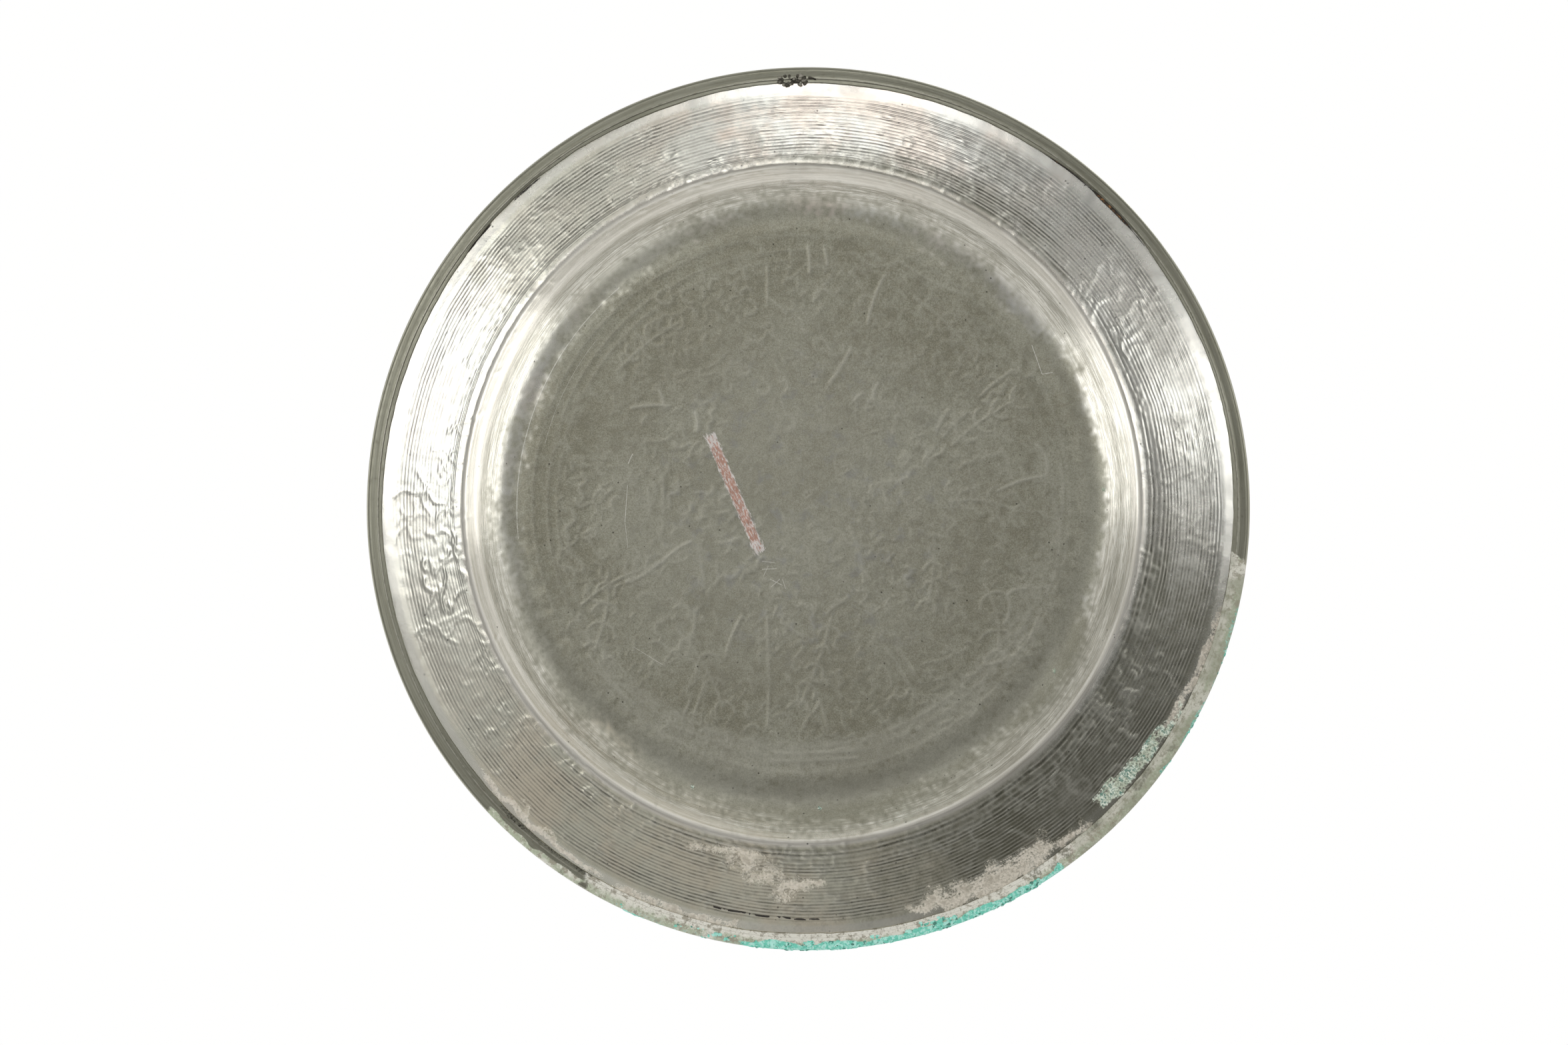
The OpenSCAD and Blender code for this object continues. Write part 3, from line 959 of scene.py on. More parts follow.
class Graph:
    """Short calls for a material's nodes, in mm. Each returns an output socket; size is |a|."""

    def __init__(self, name):
        self.material = bpy.data.materials.new(name)
        self.material.use_nodes = True
        self.tree = self.material.node_tree
        self.tree.nodes.clear()
        place_node = self.add("ShaderNodeTexCoord")
        scale = self.add("ShaderNodeVectorMath", operation="SCALE")
        self.tree.links.new(place_node.outputs["Object"], scale.inputs[0])
        scale.inputs["Scale"].default_value = 1000
        self.mm = scale.outputs[0]
        split = self.add("ShaderNodeSeparateXYZ")
        self.tree.links.new(self.mm, split.inputs[0])
        self.x, self.y = split.outputs[0], split.outputs[1]
        squares = self.plus(self.times(self.x, self.x), self.times(self.y, self.y))
        self.rho = self.most(self.math("SQRT", squares), 1.0)

    def add(self, kind, **settings):
        """A new node, with its own settings."""
        node = self.tree.nodes.new(kind)
        for key, value in settings.items():
            setattr(node, key, value)
        return node

    def feed(self, socket, value):
        """Links an output to a socket, or sets the socket to a plain value."""
        if isinstance(value, bpy.types.NodeSocket):
            self.tree.links.new(value, socket)
        else:
            socket.default_value = value

    def math(self, operation, a, b=0.0, clamp=False):
        node = self.add("ShaderNodeMath", operation=operation, use_clamp=clamp)
        self.feed(node.inputs[0], a)
        self.feed(node.inputs[1], b)
        return node.outputs[0]

    def plus(self, a, b, clamp=False):
        return self.math("ADD", a, b, clamp)

    def minus(self, a, b, clamp=False):
        return self.math("SUBTRACT", a, b, clamp)

    def times(self, a, b, clamp=False):
        return self.math("MULTIPLY", a, b, clamp)

    def most(self, a, b):
        return self.math("MAXIMUM", a, b)

    def size(self, a):
        return self.math("ABSOLUTE", a)

    def attribute(self, name):
        """A value painted on the mesh."""
        return self.add("ShaderNodeAttribute", attribute_name=name).outputs["Fac"]

    def noise(self, scale, detail=3.0, roughness=0.55, where=None):
        """Noise from 0 to 1, with scale in lumps per mm."""
        node = self.add("ShaderNodeTexNoise")
        self.tree.links.new(where or self.mm, node.inputs["Vector"])
        node.inputs["Scale"].default_value = scale
        node.inputs["Detail"].default_value = detail
        node.inputs["Roughness"].default_value = roughness
        return node.outputs["Fac"]

    def centred(self, value, gain, middle=0.5):
        """How far a value swings from its middle, times gain."""
        return self.times(self.minus(value, middle), gain)

    def cells(self, scale):
        """Distance to the nearest of scattered points."""
        node = self.add("ShaderNodeTexVoronoi")
        self.tree.links.new(self.mm, node.inputs["Vector"])
        node.inputs["Scale"].default_value = scale
        return node.outputs["Distance"]

    def step(self, value, low, high, to_low=0.0, to_high=1.0):
        """A smooth step from to_low, below low, to to_high, above high."""
        node = self.add("ShaderNodeMapRange", interpolation_type="SMOOTHSTEP")
        self.feed(node.inputs["Value"], value)
        node.inputs["From Min"].default_value = low
        node.inputs["From Max"].default_value = high
        node.inputs["To Min"].default_value = to_low
        node.inputs["To Max"].default_value = to_high
        return node.outputs["Result"]

    def mix(self, share, a, b, blend="MIX"):
        """Colour a, with b over it by share."""
        node = self.add("ShaderNodeMix", data_type="RGBA", blend_type=blend)
        self.feed(node.inputs["Factor"], share)
        self.feed(node.inputs[6], (*a, 1) if isinstance(a, tuple) else a)
        self.feed(node.inputs[7], (*b, 1) if isinstance(b, tuple) else b)
        return node.outputs[2]

    def streaks(self, across, along, detail=3.0):
        """Noise drawn out round the plate: across and along are marks per mm and per turn."""
        join = self.add("ShaderNodeCombineXYZ")
        self.tree.links.new(self.times(self.rho, across), join.inputs[0])
        for number, side in enumerate((self.x, self.y)):
            turn = self.times(self.math("DIVIDE", side, self.rho), along)
            self.tree.links.new(turn, join.inputs[number + 1])
        return self.noise(1.0, detail, 0.6, where=join.outputs[0])

    def bump(self, height, strength, distance):
        """A normal for fine relief, with distance in mm."""
        node = self.add("ShaderNodeBump")
        node.inputs["Strength"].default_value = strength
        node.inputs["Distance"].default_value = distance * MM
        self.feed(node.inputs["Height"], height)
        return node.outputs["Normal"]

    def finish(self, colour, metallic, roughness, normal):
        """The material, with its one shader."""
        shader = self.add("ShaderNodeBsdfPrincipled")
        self.feed(shader.inputs["Base Color"], (*colour, 1) if isinstance(colour, tuple) else colour)
        self.feed(shader.inputs["Metallic"], metallic)
        self.feed(shader.inputs["Roughness"], roughness)
        self.tree.links.new(normal, shader.inputs["Normal"])
        output = self.add("ShaderNodeOutputMaterial")
        self.tree.links.new(shader.outputs[0], output.inputs["Surface"])
        return self.material


TIN_BRIGHT = (0.75, 0.745, 0.69)
TIN_DULL = (0.43, 0.43, 0.39)
TIN_FLOOR = (0.405, 0.395, 0.310)
TIN_DARK = (0.235, 0.230, 0.185)
TIN_WARM = (0.80, 0.70, 0.61)
TIN_CREST = (0.86, 0.83, 0.74)
GROOVE_SHADE = (0.10, 0.098, 0.08)
COPPER = (0.62, 0.37, 0.29)
RESIDUE = (0.56, 0.51, 0.42)
RESIDUE_PALE = (0.78, 0.72, 0.62)
VERDIGRIS = (0.19, 0.68, 0.53)
VERDIGRIS_PALE = (0.50, 0.90, 0.79)
VERDIGRIS_DARK = (0.09, 0.24, 0.19)
SAGE = (0.47, 0.52, 0.38)
CRUST_PALE = (0.82, 0.80, 0.71)
CRUST_DARK = (0.34, 0.31, 0.24)
GRIME_AND_SHADE = (0.03, 0.025, 0.02)
RUST = (0.42, 0.20, 0.07)
SCRAPE_FROM = (-0.216, 0.168)
SCRAPE_TO = (-0.101, -0.101)
SCRAPE_HALF_W = 1.9
GREEN_SPOTS = ((-0.255, -0.625), (0.556, -0.363), (0.666, 0.042), (0.03, -0.672))


def along_line(g, start, end):
    """Distances along and across a line on the underside, from its middle, and its length."""
    x0, y0 = -start[0] * PLATE_R, start[1] * PLATE_R
    x1, y1 = -end[0] * PLATE_R, end[1] * PLATE_R
    length = math.hypot(x1 - x0, y1 - y0)
    ux, uy = (x1 - x0) / length, (y1 - y0) / length
    x = g.minus(g.x, (x0 + x1) / 2)
    y = g.minus(g.y, (y0 + y1) / 2)
    along = g.plus(g.times(x, ux), g.times(y, uy))
    across = g.minus(g.times(x, -uy), g.times(y, -ux))
    return along, across, length


def scrape_mask(g):
    """The test scrape: a stripe through the tin, with ends and sides broken by its strokes."""
    along, across, length = along_line(g, SCRAPE_FROM, SCRAPE_TO)
    join = g.add("ShaderNodeCombineXYZ")
    g.tree.links.new(g.times(along, 0.5), join.inputs[0])
    g.tree.links.new(g.times(across, 1.8), join.inputs[1])
    strokes = g.noise(1.0, 4.0, 0.75, where=join.outputs[0])
    wide = g.minus(SCRAPE_HALF_W, g.size(across))
    long = g.minus(length / 2, g.size(along))
    inside = g.math("MINIMUM", wide, g.times(long, 0.6))
    ragged = g.times(g.minus(strokes, 0.5), 3.4)
    mask = g.step(g.plus(inside, ragged), 0.05, 0.45)
    ends = g.step(g.size(along), length * 0.32, length * 0.5, 0.0, 0.10)
    edges = g.step(g.size(across), SCRAPE_HALF_W * 0.5, SCRAPE_HALF_W, -0.02, 0.06)
    return mask, g.plus(strokes, g.plus(ends, edges))


def scratch_mask(g):
    """Fine bright scratches: a long arc beside the wall, short arcs, and a few crossed strokes."""
    marks = []
    for seen_from, seen_to, radius, half_w in ((130, 186, 90.6, 0.11), (141, 166, 84.2, 0.05)):
        middle = math.radians(180 - (seen_from + seen_to) / 2)
        toward = g.plus(g.times(g.x, math.cos(middle)), g.times(g.y, math.sin(middle)))
        half_turn = math.radians((seen_to - seen_from) / 2)
        inside = g.math("GREATER_THAN", toward, radius * math.cos(half_turn))
        off = g.size(g.minus(g.rho, radius))
        marks.append(g.times(inside, g.step(off, half_w * 0.4, half_w * 1.6, 1.0, 0.0)))
    strokes = (
        ((-0.399, 0.052), (-0.405, -0.030), 0.10), ((-0.405, -0.030), (-0.398, -0.088), 0.07),
        ((-0.398, 0.100), (-0.388, 0.122), 0.12), ((0.505, 0.365), (0.528, 0.300), 0.12),
        ((0.528, 0.300), (0.552, 0.304), 0.12), ((-0.098, -0.118), (-0.070, -0.121), 0.10),
        ((-0.098, -0.136), (-0.065, -0.134), 0.10), ((-0.094, -0.150), (-0.084, -0.128), 0.08),
        ((-0.080, -0.158), (-0.052, -0.172), 0.10), ((-0.078, -0.176), (-0.058, -0.158), 0.10),
        ((-0.052, -0.158), (-0.045, -0.180), 0.08), ((-0.385, -0.310), (-0.320, -0.350), 0.07),
    )
    for start, end, half_w in strokes:
        along, across, length = along_line(g, start, end)
        inside = g.math("LESS_THAN", g.size(along), length / 2)
        off = g.size(across)
        marks.append(g.times(inside, g.step(off, half_w * 0.4, half_w * 1.6, 1.0, 0.0)))
    total = marks[0]
    for mark in marks[1:]:
        total = g.most(total, mark)
    return g.times(total, g.step(g.noise(0.8, 2), 0.30, 0.50, 0.35, 1.0))


def spot_mask(g):
    """Small green spots of corrosion on the underside."""
    total = None
    wander = g.times(g.minus(g.noise(1.6, 3, 0.7), 0.5), 2.2)
    for sx, sy in GREEN_SPOTS:
        dx = g.minus(g.x, -sx * PLATE_R)
        dy = g.minus(g.y, sy * PLATE_R)
        gap = g.math("SQRT", g.plus(g.times(dx, dx), g.times(dy, dy)))
        spot = g.step(g.plus(gap, wander), 0.3, 0.8, 1.0, 0.0)
        total = g.most(total, spot) if total else spot
    return total


def shared_noise(g):
    """The noises that several layers of the underside read."""
    return SimpleNamespace(
        soft=g.noise(0.05, 4, 0.6),
        mottle=g.noise(0.35, 5, 0.6),
        grain=g.noise(1.3, 5, 0.75),
        fine=g.noise(2.6, 4, 0.7),
        streak=g.streaks(1.4, 5),
        hair=g.streaks(4.0, 16),
    )


def flange_colour(g, n):
    """Bright tin, dulled, warmed and darkened in places, with a painted highlight on the tops between the
    grooves and painted shade in the grooves.
    """
    dull, warm, dark = g.attribute("dull"), g.attribute("warm"), g.attribute("dark")
    dulled = g.plus(g.times(dull, 0.75), g.centred(n.mottle, 0.35), clamp=True)
    colour = g.mix(dulled, TIN_BRIGHT, TIN_DULL)
    rosy = g.times(g.plus(warm, 0.12), g.step(n.soft, 0.38, 0.62))
    colour = g.mix(g.times(rosy, 0.85, clamp=True), colour, TIN_WARM)
    uneven = g.plus(g.centred(n.mottle, 0.8), g.centred(n.grain, 0.6))
    colour = g.mix(g.step(g.plus(dark, uneven), 0.15, 1.0), colour, TIN_DARK)
    colour = g.mix(g.attribute("olive"), colour, (1.0, 0.985, 0.86), "MULTIPLY")
    # painted light and shade on the turned grooves: their tops are lightened towards TIN_CREST, their
    # hollows darkened almost to black
    lines = g.centred(g.attribute("groove"), 2.0)
    lines = g.times(lines, g.step(n.grain, 0.32, 0.62, 0.75, 1.25))
    matt = g.plus(g.times(dark, 0.22), g.times(dull, 0.50))
    matt = g.plus(matt, g.times(g.attribute("olive"), 0.40))
    above = g.most(lines, 0.0)
    below = g.most(g.times(lines, -1.0), 0.0)
    crest_highlight = g.times(above, g.plus(matt, 0.22), clamp=True)
    trough_shade = g.times(below, g.plus(matt, 0.34), clamp=True)
    speckle = g.times(g.step(n.fine, 0.50, 0.70), g.times(dark, 0.35), clamp=True)
    colour = g.mix(g.most(crest_highlight, speckle), colour, TIN_CREST)
    colour = g.mix(trough_shade, colour, GROOVE_SHADE)
    margin = g.step(g.rho, MARGIN_TO_R - 0.9, MARGIN_TO_R, 0.45, 0.0)
    margin = g.times(g.step(g.rho, MARGIN_FROM_R, MARGIN_FROM_R + 1.2), margin)
    return g.mix(g.times(margin, g.step(dark, 0.4, 1.0, 1.0, 0.3)), colour, (0.90, 0.885, 0.82))


def wall_colour(g, n):
    """Scraped bright wall with a painted highlight along the shoulder, and dark hair lines round it."""
    dark, wall = g.attribute("dark"), g.attribute("wall")
    colour = g.mix(g.step(n.streak, 0.36, 0.66), (0.87, 0.85, 0.775), (0.67, 0.65, 0.57))
    colour = g.mix(g.step(n.hair, 0.42, 0.60, 0.0, 0.75), colour, (0.40, 0.38, 0.31))
    # painted highlight: a cream band along the shoulder bend, from 101.5 mm out
    shoulder_highlight = g.mix(g.step(n.streak, 0.30, 0.70), (0.98, 0.95, 0.87), (0.82, 0.78, 0.69))
    colour = g.mix(g.step(g.rho, 101.5, 104.5), colour, shoulder_highlight)
    wall_darkening = g.plus(g.times(dark, wall), g.centred(n.streak, 0.3))
    return g.mix(g.step(wall_darkening, 0.05, 0.5, 0.0, 0.66), colour, (0.36, 0.34, 0.27))


def floor_colour(g, n):
    """Matt olive-grey tin, mottled, paler and bluish near the middle, with painted light on the bend towards
    the wall.
    """
    tone = g.plus(g.times(g.noise(0.028, 3, 0.6), 0.6), g.times(n.mottle, 0.4))
    colour = g.mix(g.step(tone, 0.40, 0.58), (0.312, 0.296, 0.218), TIN_FLOOR)
    colour = g.mix(g.step(n.grain, 0.32, 0.62, 0.48, 0.0), colour, (0.15, 0.145, 0.105))
    colour = g.mix(g.step(n.fine, 0.45, 0.75, 0.0, 0.50), colour, (0.64, 0.63, 0.54))
    blotches = g.noise(0.12, 4, 0.7)
    colour = g.mix(g.step(blotches, 0.50, 0.66, 0.0, 0.30), colour, (0.20, 0.19, 0.14))
    # painted light: the floor's bend, 84 to 95 mm out, is lightened all round and more in two sectors; the
    # middle is paler too
    painted_light_and_pale_middle = g.plus(g.step(g.rho, 84, 95, 0.0, 0.18), g.times(g.attribute("moat_painted_light"), 0.24))
    painted_light_and_pale_middle = g.plus(painted_light_and_pale_middle, g.step(g.rho, 15, 85, 0.20, 0.03))
    colour = g.mix(painted_light_and_pale_middle, colour, (0.66, 0.65, 0.57))
    bluish = g.times(g.step(g.noise(0.16, 4, 0.65), 0.52, 0.68), g.step(g.rho, 30, 62, 0.5, 0.0))
    return g.mix(bluish, colour, (0.33, 0.33, 0.32))


def cover_masks(g, n):
    """Where the pale and green deposits and the grime with its painted gap shade lie: ragged, and thinner on
    the grooves' tops.
    """
    patchy = g.plus(g.centred(n.grain, 3.2), g.centred(n.mottle, 2.6))
    patchy = g.plus(patchy, g.centred(g.attribute("groove"), -0.8))
    pale, green = g.attribute("pale"), g.attribute("green")
    pale_here, green_here = g.step(pale, 0.05, 0.30), g.step(green, 0.05, 0.30)
    pale = g.times(g.step(g.plus(pale, patchy), 0.30, 1.05), pale_here)
    green = g.times(g.step(g.plus(green, patchy), 0.40, 0.90), green_here)
    green = g.most(green, spot_mask(g))
    dirt_and_gap_shade = g.step(g.plus(g.attribute("dirt_and_gap_shade"), g.centred(n.grain, 0.6)), 0.42, 0.60)
    return g.times(pale, 0.85), green, dirt_and_gap_shade


def underside_material():
    """Worn tin over copper. The sheet's named values say where it is matt (floor, dull), scraped bright
    with a painted highlight at the shoulder (wall), tarnished (warm, olive), darker by sector and in
    painted shade at the shoulder crease (dark), high or low (ghost, groove), with partly painted light
    on the high parts and painted shade in the grooves, or under a deposit, with grime and painted
    shade along the strip's edge (pale, green, dirt_and_gap_shade)."""
    g = Graph("tinned_underside")
    n = shared_noise(g)
    floor, wall, dull = g.attribute("floor"), g.attribute("wall"), g.attribute("dull")
    dark, ghost = g.attribute("dark"), g.attribute("ghost")
    colour = g.mix(g.times(wall, 0.92), flange_colour(g, n), wall_colour(g, n))
    colour = g.mix(floor, colour, floor_colour(g, n))
    # lighter on the worked ridges: partly their polish, partly a painted highlight
    ridge_polish_and_highlight = g.times(ghost, g.plus(g.times(dark, 0.22), 0.27), clamp=True)
    colour = g.mix(ridge_polish_and_highlight, colour, (0.80, 0.79, 0.70))
    colour = g.mix(g.step(n.fine, 0.58, 0.80, 0.0, 0.35), colour, (0.10, 0.095, 0.075))
    pits = g.times(g.step(g.cells(0.30), 0.05, 0.11, 1.0, 0.0), g.step(g.noise(0.11, 2), 0.50, 0.60))
    colour = g.mix(g.times(pits, 0.75), colour, GRIME_AND_SHADE)

    pale, green, dirt_and_gap_shade = cover_masks(g, n)
    scrape, strokes = scrape_mask(g)
    bared = g.mix(g.step(strokes, 0.46, 0.58), COPPER, (0.86, 0.81, 0.77))
    colour = g.mix(scrape, colour, bared)
    scratches = scratch_mask(g)
    colour = g.mix(g.times(scratches, 0.6), colour, (0.90, 0.89, 0.83))
    cream = g.mix(g.step(n.grain, 0.40, 0.58), RESIDUE, RESIDUE_PALE)
    cream = g.mix(g.step(n.mottle, 0.52, 0.66, 0.0, 0.6), cream, (0.36, 0.32, 0.25))
    colour = g.mix(pale, colour, cream)
    moss = g.mix(g.step(n.grain, 0.44, 0.56), (0.12, 0.25, 0.20), (0.80, 0.85, 0.74))
    colour = g.mix(green, colour, g.mix(g.step(n.mottle, 0.42, 0.60, 0.35, 1.0), SAGE, moss))
    # grime and painted gap shade, with rust flecks where it is thickest
    rusty = g.times(g.step(n.grain, 0.50, 0.58), g.step(g.attribute("dirt_and_gap_shade"), 0.91, 0.97))
    colour = g.mix(dirt_and_gap_shade, colour, g.mix(rusty, GRIME_AND_SHADE, RUST))

    covered = g.most(pale, g.most(green, dirt_and_gap_shade))
    metallic = g.minus(1.0, covered, clamp=True)
    roughness = g.plus(0.20, g.times(floor, 0.27))
    roughness = g.plus(roughness, g.times(g.plus(dull, dark), 0.09))
    roughness = g.plus(roughness, g.centred(n.mottle, 0.20))
    roughness = g.plus(roughness, g.times(covered, 0.45), clamp=True)
    height = g.plus(g.times(n.fine, 0.30), g.times(n.grain, 0.50))
    height = g.plus(height, g.times(n.hair, g.times(wall, 0.35)))
    height = g.plus(height, g.times(covered, g.times(n.grain, 2.0)))
    height = g.minus(height, g.times(scratches, 0.5))
    return g.finish(colour, metallic, roughness, g.bump(height, 0.45, 0.07))


def front_material():
    """The front: rubbed tin with copper showing through, and dark in the chased lines."""
    g = Graph("tinned_front")
    engraved = g.attribute("engraved")
    soft = g.noise(0.035, 4, 0.6)
    mottle = g.noise(0.30, 5, 0.6)
    grain = g.noise(1.3, 5, 0.75)
    fine = g.noise(2.6, 4, 0.7)
    hair = g.streaks(3.0, 12)
    colour = g.mix(g.step(mottle, 0.3, 0.75), (0.58, 0.565, 0.52), (0.34, 0.33, 0.29))
    colour = g.mix(g.step(hair, 0.45, 0.75, 0.0, 0.4), colour, (0.30, 0.285, 0.24))
    worn = g.step(g.plus(soft, g.centred(grain, 0.25)), 0.56, 0.68, 0.0, 0.7)
    colour = g.mix(worn, colour, (0.50, 0.33, 0.25))
    grime = g.step(g.plus(engraved, g.centred(grain, 0.5)), 0.25, 0.75, 0.0, 0.9)
    colour = g.mix(grime, colour, (0.045, 0.04, 0.032))
    roughness = g.plus(0.28, g.centred(mottle, 0.35, 0.4))
    roughness = g.plus(roughness, g.times(grime, 0.3), clamp=True)
    height = g.plus(g.times(fine, 0.4), g.times(grain, 0.5))
    return g.finish(colour, 1.0, roughness, g.bump(height, 0.5, 0.06))


def binding_material():
    """Dark tarnished copper strip, with turquoise and pale corrosion along part of it, and a painted
    highlight along its crease.
    """
    g = Graph("binding_copper")
    green, pale = g.attribute("green"), g.attribute("pale")
    bare, dirt_and_gap_shade = g.attribute("bare"), g.attribute("dirt_and_gap_shade")
    mottle = g.noise(0.5, 5, 0.6)
    grain = g.noise(1.2, 5, 0.75)
    fine = g.noise(2.6, 4, 0.7)
    streak = g.streaks(2.2, 6)
    colour = g.mix(g.step(streak, 0.3, 0.7), (0.26, 0.255, 0.197), (0.36, 0.355, 0.287))
    colour = g.mix(g.step(mottle, 0.55, 0.8, 0.0, 0.45), colour, (0.15, 0.14, 0.11))
    colour = g.mix(g.step(g.plus(bare, g.centred(grain, 1.0)), 0.5, 0.8), colour, (0.42, 0.25, 0.18))
    pale_mask = g.step(g.plus(pale, g.centred(grain, 0.8)), 0.35, 0.6)
    green_mask = g.step(g.plus(green, g.centred(grain, 1.2)), 0.40, 0.60)
    dirt_mask = g.step(g.plus(dirt_and_gap_shade, g.centred(grain, 0.8)), 0.42, 0.62)
    # painted highlight: a pale line along the crease of the strip's underside
    crease = g.step(g.size(g.minus(g.rho, STRIP_CREASE_R)), 0.12, 0.40, 0.55, 0.0)
    colour = g.mix(g.times(crease, g.step(mottle, 0.30, 0.60)), colour, (0.62, 0.60, 0.51))
    outer = g.step(g.plus(g.rho, g.centred(mottle, 4.0)), 136.6, 138.2)
    crusty = g.mix(g.times(outer, g.step(g.noise(0.09, 3, 0.6), 0.36, 0.52)), CRUST_PALE, SAGE)
    crusty = g.mix(g.step(grain, 0.50, 0.62, 0.0, 0.6), crusty, (0.88, 0.86, 0.79))
    crusty = g.mix(g.step(g.noise(0.45, 5, 0.7), 0.51, 0.61, 0.0, 0.85), crusty, CRUST_DARK)
    crusty = g.mix(g.step(g.noise(1.0, 5, 0.75), 0.54, 0.62, 0.0, 0.6), crusty, CRUST_DARK)
    crusty = g.mix(g.times(g.attribute("grey"), 0.8), crusty, (0.33, 0.34, 0.25))
    colour = g.mix(g.times(pale_mask, 0.94), colour, crusty)
    clumps = g.noise(0.75, 4, 0.65)
    tint = g.mix(g.step(clumps, 0.46, 0.58), VERDIGRIS, VERDIGRIS_PALE)
    tint = g.mix(g.step(grain, 0.54, 0.64, 0.0, 0.8), tint, VERDIGRIS_DARK)
    colour = g.mix(green_mask, colour, tint)
    colour = g.mix(g.times(dirt_mask, 0.9), colour, GRIME_AND_SHADE)
    covered = g.most(pale_mask, green_mask)
    metallic = g.minus(1.0, covered, clamp=True)
    roughness = g.plus(0.32, g.centred(mottle, 0.25, 0.4))
    roughness = g.plus(roughness, g.times(covered, 0.5), clamp=True)
    height = g.plus(g.times(fine, 0.4), g.times(covered, g.times(grain, 3.0)))
    return g.finish(colour, metallic, roughness, g.bump(height, 0.6, 0.06))


def verdigris_material():
    """Turquoise crust: grains of dark, strong and pale green."""
    g = Graph("turquoise_crust")
    tone = g.plus(g.attribute("tone"), g.centred(g.noise(1.1, 4, 0.7), 0.9))
    colour = g.mix(g.step(tone, 0.30, 0.85), VERDIGRIS, VERDIGRIS_PALE)
    colour = g.mix(g.step(tone, 0.14, 0.26, 0.95, 0.0), colour, VERDIGRIS_DARK)
    return g.finish(colour, 0.0, 0.85, g.bump(g.noise(2.6, 4, 0.7), 0.6, 0.08))


def solder_material():
    """Grey soft solder, blackened by grime."""
    g = Graph("old_solder")
    tone = g.plus(g.attribute("tone"), g.centred(g.noise(1.2, 5, 0.65), 1.0))
    colour = g.mix(g.step(tone, 0.45, 0.95), (0.10, 0.092, 0.072), (0.40, 0.38, 0.32))
    return g.finish(colour, 0.6, 0.55, g.bump(g.noise(1.2, 5, 0.65), 0.8, 0.15))


def wire_material():
    """Drawn copper wire, dull from age."""
    g = Graph("dull_copper_wire")
    mottle = g.noise(0.8, 4, 0.6)
    colour = g.mix(g.step(mottle, 0.35, 0.7), (0.42, 0.24, 0.16), (0.22, 0.14, 0.10))
    return g.finish(colour, 1.0, g.step(mottle, 0.3, 0.7, 0.35, 0.6), g.bump(mottle, 0.3, 0.05))


def floor_material():
    """Pale floor that is there from above only, so that the plate can be looked at from below."""
    material = bpy.data.materials.new("pale_floor")
    material.use_nodes = True
    nodes, links = material.node_tree.nodes, material.node_tree.links
    nodes.clear()
    pale = nodes.new("ShaderNodeBsdfDiffuse")
    pale.inputs["Color"].default_value = (0.82, 0.82, 0.81, 1)
    clear = nodes.new("ShaderNodeBsdfTransparent")
    side = nodes.new("ShaderNodeNewGeometry")
    choose = nodes.new("ShaderNodeMixShader")
    output = nodes.new("ShaderNodeOutputMaterial")
    links.new(side.outputs["Backfacing"], choose.inputs[0])
    links.new(pale.outputs[0], choose.inputs[1])
    links.new(clear.outputs[0], choose.inputs[2])
    links.new(choose.outputs[0], output.inputs["Surface"])
    return material


# ---------------------------------------------------------------- stage, light and camera

CAMERA_LENS = 135.0
CAMERA_SENSOR = 36.0
FRAME_W_IN_PLATES = 1.772           # the picture's width, in plate diameters
PICTURE_W = FRAME_W_IN_PLATES * 2 * PLATE_R * MM
AIM_SEEN = (-0.0525, -0.0314)       # the picture's centre as seen, in plate radii
CAMERA_LEAN = math.radians(1.5)     # the camera stands this far to the seen right of the axis
FLOOR_HALF = 4.0                    # metres
FLOOR_GAP = 0.0006                  # metres between the floor and the plate
WORLD_LEVELS = ((0.07, 0.27), (0.22, 0.40), (0.38, 0.58), (0.50, 0.68), (0.65, 0.88), (0.80, 1.0))


def make_stage():
    """The floor, just under the plate: only the camera sees it, and it blocks and bounces no light."""
    far = FLOOR_HALF
    mesh = bpy.data.meshes.new("pale_floor")
    corners = [(-far, -far, 0), (far, -far, 0), (far, far, 0), (-far, far, 0)]
    mesh.from_pydata(corners, [], [(0, 1, 2, 3)])
    mesh.materials.append(floor_material())
    floor = bpy.data.objects.new("pale_floor", mesh)
    floor.location.z = -FLOOR_GAP
    bpy.context.scene.collection.objects.link(floor)
    floor.visible_diffuse = False
    floor.visible_glossy = False
    floor.visible_transmission = False
    floor.visible_shadow = False


def soft_panel(name, seen, off_axis, distance, size, radiance, below=True):
    """A soft oblong light that faces the plate, placed by seen angle and angle off the axis."""
    light = bpy.data.lights.new(name, "AREA")
    light.shape = "RECTANGLE"
    light.size, light.size_y = size
    light.energy = radiance * math.pi * size[0] * size[1]
    lamp = bpy.data.objects.new(name, light)
    a, off = math.radians(seen), math.radians(off_axis)
    down = -1 if below else 1
    lamp.location = (
        -distance * math.sin(off) * math.cos(a),
        distance * math.sin(off) * math.sin(a),
        down * distance * math.cos(off),
    )
    facing = -lamp.location
    lamp.rotation_mode = "QUATERNION"
    lamp.rotation_quaternion = facing.to_track_quat("-Z", "Y")
    lamp.visible_camera = False
    bpy.context.scene.collection.objects.link(lamp)
    return lamp


def make_lights():
    """Panels below and beside the plate for its underside, and two above it for the front."""
    soft_panel("left_panel", 161, 25, 1.3, (0.46, 0.46), 2.25)
    soft_panel("top_panel", 88, 30, 1.3, (0.50, 0.36), 1.75)
    soft_panel("right_panel", 15, 29, 1.3, (0.26, 0.36), 2.35)
    soft_panel("left_side", 165, 98, 1.2, (0.9, 0.6), 1.0)
    soft_panel("right_side", 14, 98, 1.2, (0.7, 0.6), 1.0)
    soft_panel("low_panel", 232, 26, 1.3, (0.90, 0.42), 0.22)
    under = soft_panel("under_fill", 240, 20, 1.4, (1.0, 1.0), 2.0)
    under.visible_glossy = False
    soft_panel("front_key", 60, 38, 1.4, (0.7, 0.7), 1.6, below=False)
    soft_panel("front_fill", 200, 55, 1.4, (0.9, 0.6), 0.6, below=False)


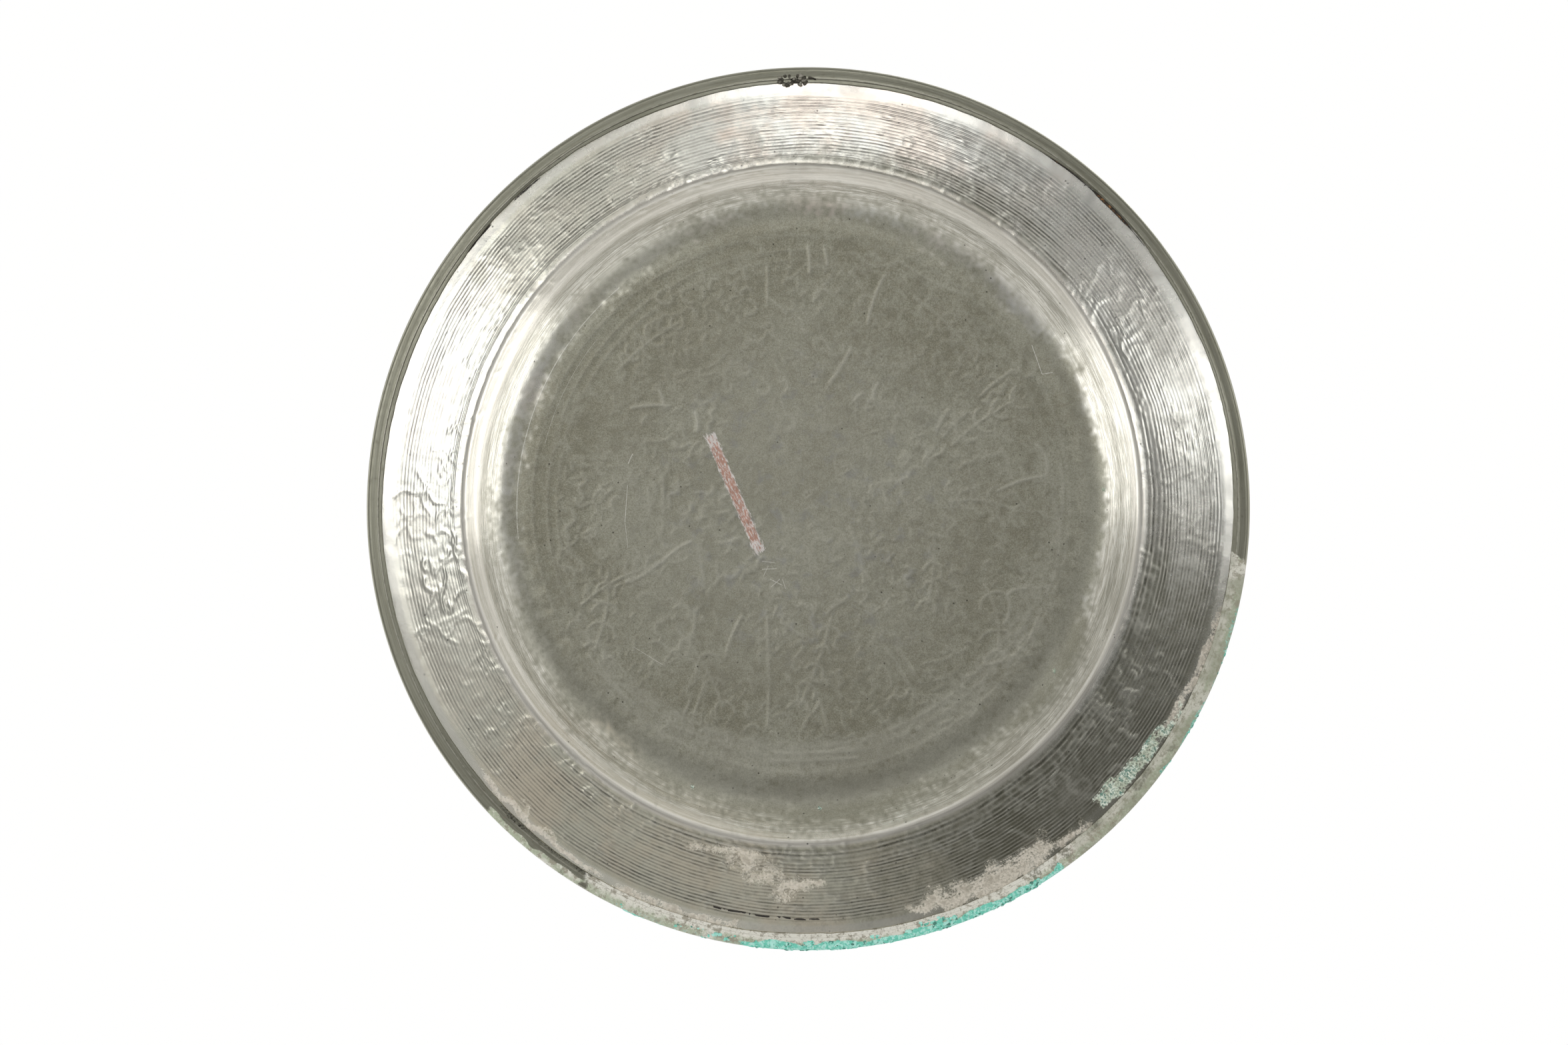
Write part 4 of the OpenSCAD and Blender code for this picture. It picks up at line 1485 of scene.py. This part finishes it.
def make_world():
    """White above and round the plate, dim below it."""
    world = bpy.data.worlds.new("studio")
    bpy.context.scene.world = world
    world.use_nodes = True
    nodes, links = world.node_tree.nodes, world.node_tree.links
    nodes.clear()
    where = nodes.new("ShaderNodeTexCoord")
    split = nodes.new("ShaderNodeSeparateXYZ")
    ramp = nodes.new("ShaderNodeValToRGB")
    lift = nodes.new("ShaderNodeMapRange")
    background = nodes.new("ShaderNodeBackground")
    output = nodes.new("ShaderNodeOutputWorld")
    links.new(where.outputs["Generated"], split.inputs[0])
    links.new(split.outputs[2], lift.inputs["Value"])
    lift.inputs["From Min"].default_value = -1
    lift.inputs["From Max"].default_value = 1
    links.new(lift.outputs[0], ramp.inputs[0])
    ramp.color_ramp.elements[0].position = 0.0
    ramp.color_ramp.elements[0].color = (0.24, 0.24, 0.235, 1)
    ramp.color_ramp.elements[1].position = 1.0
    ramp.color_ramp.elements[1].color = (1.0, 1.0, 0.995, 1)
    for position, level in WORLD_LEVELS:
        element = ramp.color_ramp.elements.new(position)
        element.color = (level, level, level * 0.99, 1)
    links.new(ramp.outputs[0], background.inputs["Color"])
    links.new(background.outputs[0], output.inputs["Surface"])


def make_camera():
    """Below the plate, looking up its axis from a long way off."""
    camera = bpy.data.cameras.new("below")
    camera.lens = CAMERA_LENS
    camera.sensor_width = CAMERA_SENSOR
    camera.clip_end = 50
    body = bpy.data.objects.new("below", camera)
    bpy.context.scene.collection.objects.link(body)
    distance = PICTURE_W * CAMERA_LENS / CAMERA_SENSOR
    aim = np.array([-AIM_SEEN[0] * PLATE_R * MM, AIM_SEEN[1] * PLATE_R * MM, 0.02])
    lean = np.array([-math.sin(CAMERA_LEAN), 0.0, -math.cos(CAMERA_LEAN)])
    body.location = aim + lean * distance
    look = -lean
    body.rotation_mode = "QUATERNION"
    right = np.cross(look, (0, 1, 0))
    right /= np.linalg.norm(right)
    up = np.cross(right, look)
    body.rotation_quaternion = Matrix(np.c_[right, up, -look].tolist()).to_quaternion()
    bpy.context.scene.camera = body


# ---------------------------------------------------------------- the scene


def main():
    """Stage, lights and camera, then the pieces: each goes under the root body, and the CAD node it stands
    for is hidden.
    """
    bpy.context.scene.view_settings.view_transform = "Standard"
    make_stage()
    make_world()
    make_lights()
    make_camera()
    dish = make_dish([underside_material(), front_material()])
    strip = make_binding(binding_material())
    solder = make_solder(solder_material())
    for piece, node, slot in (
        (dish, "dish", "tinned_copper"),
        (strip, "rim_binding", "binding_copper"),
        (solder, "binding_solder", "solder"),
    ):
        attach(piece, "root")
        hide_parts(node)
    crust = make_verdigris(verdigris_material())
    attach(crust, "root")
    dull_wire = wire_material()
    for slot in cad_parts["rim_wire"].material_slots:
        slot.material = dull_wire


main()
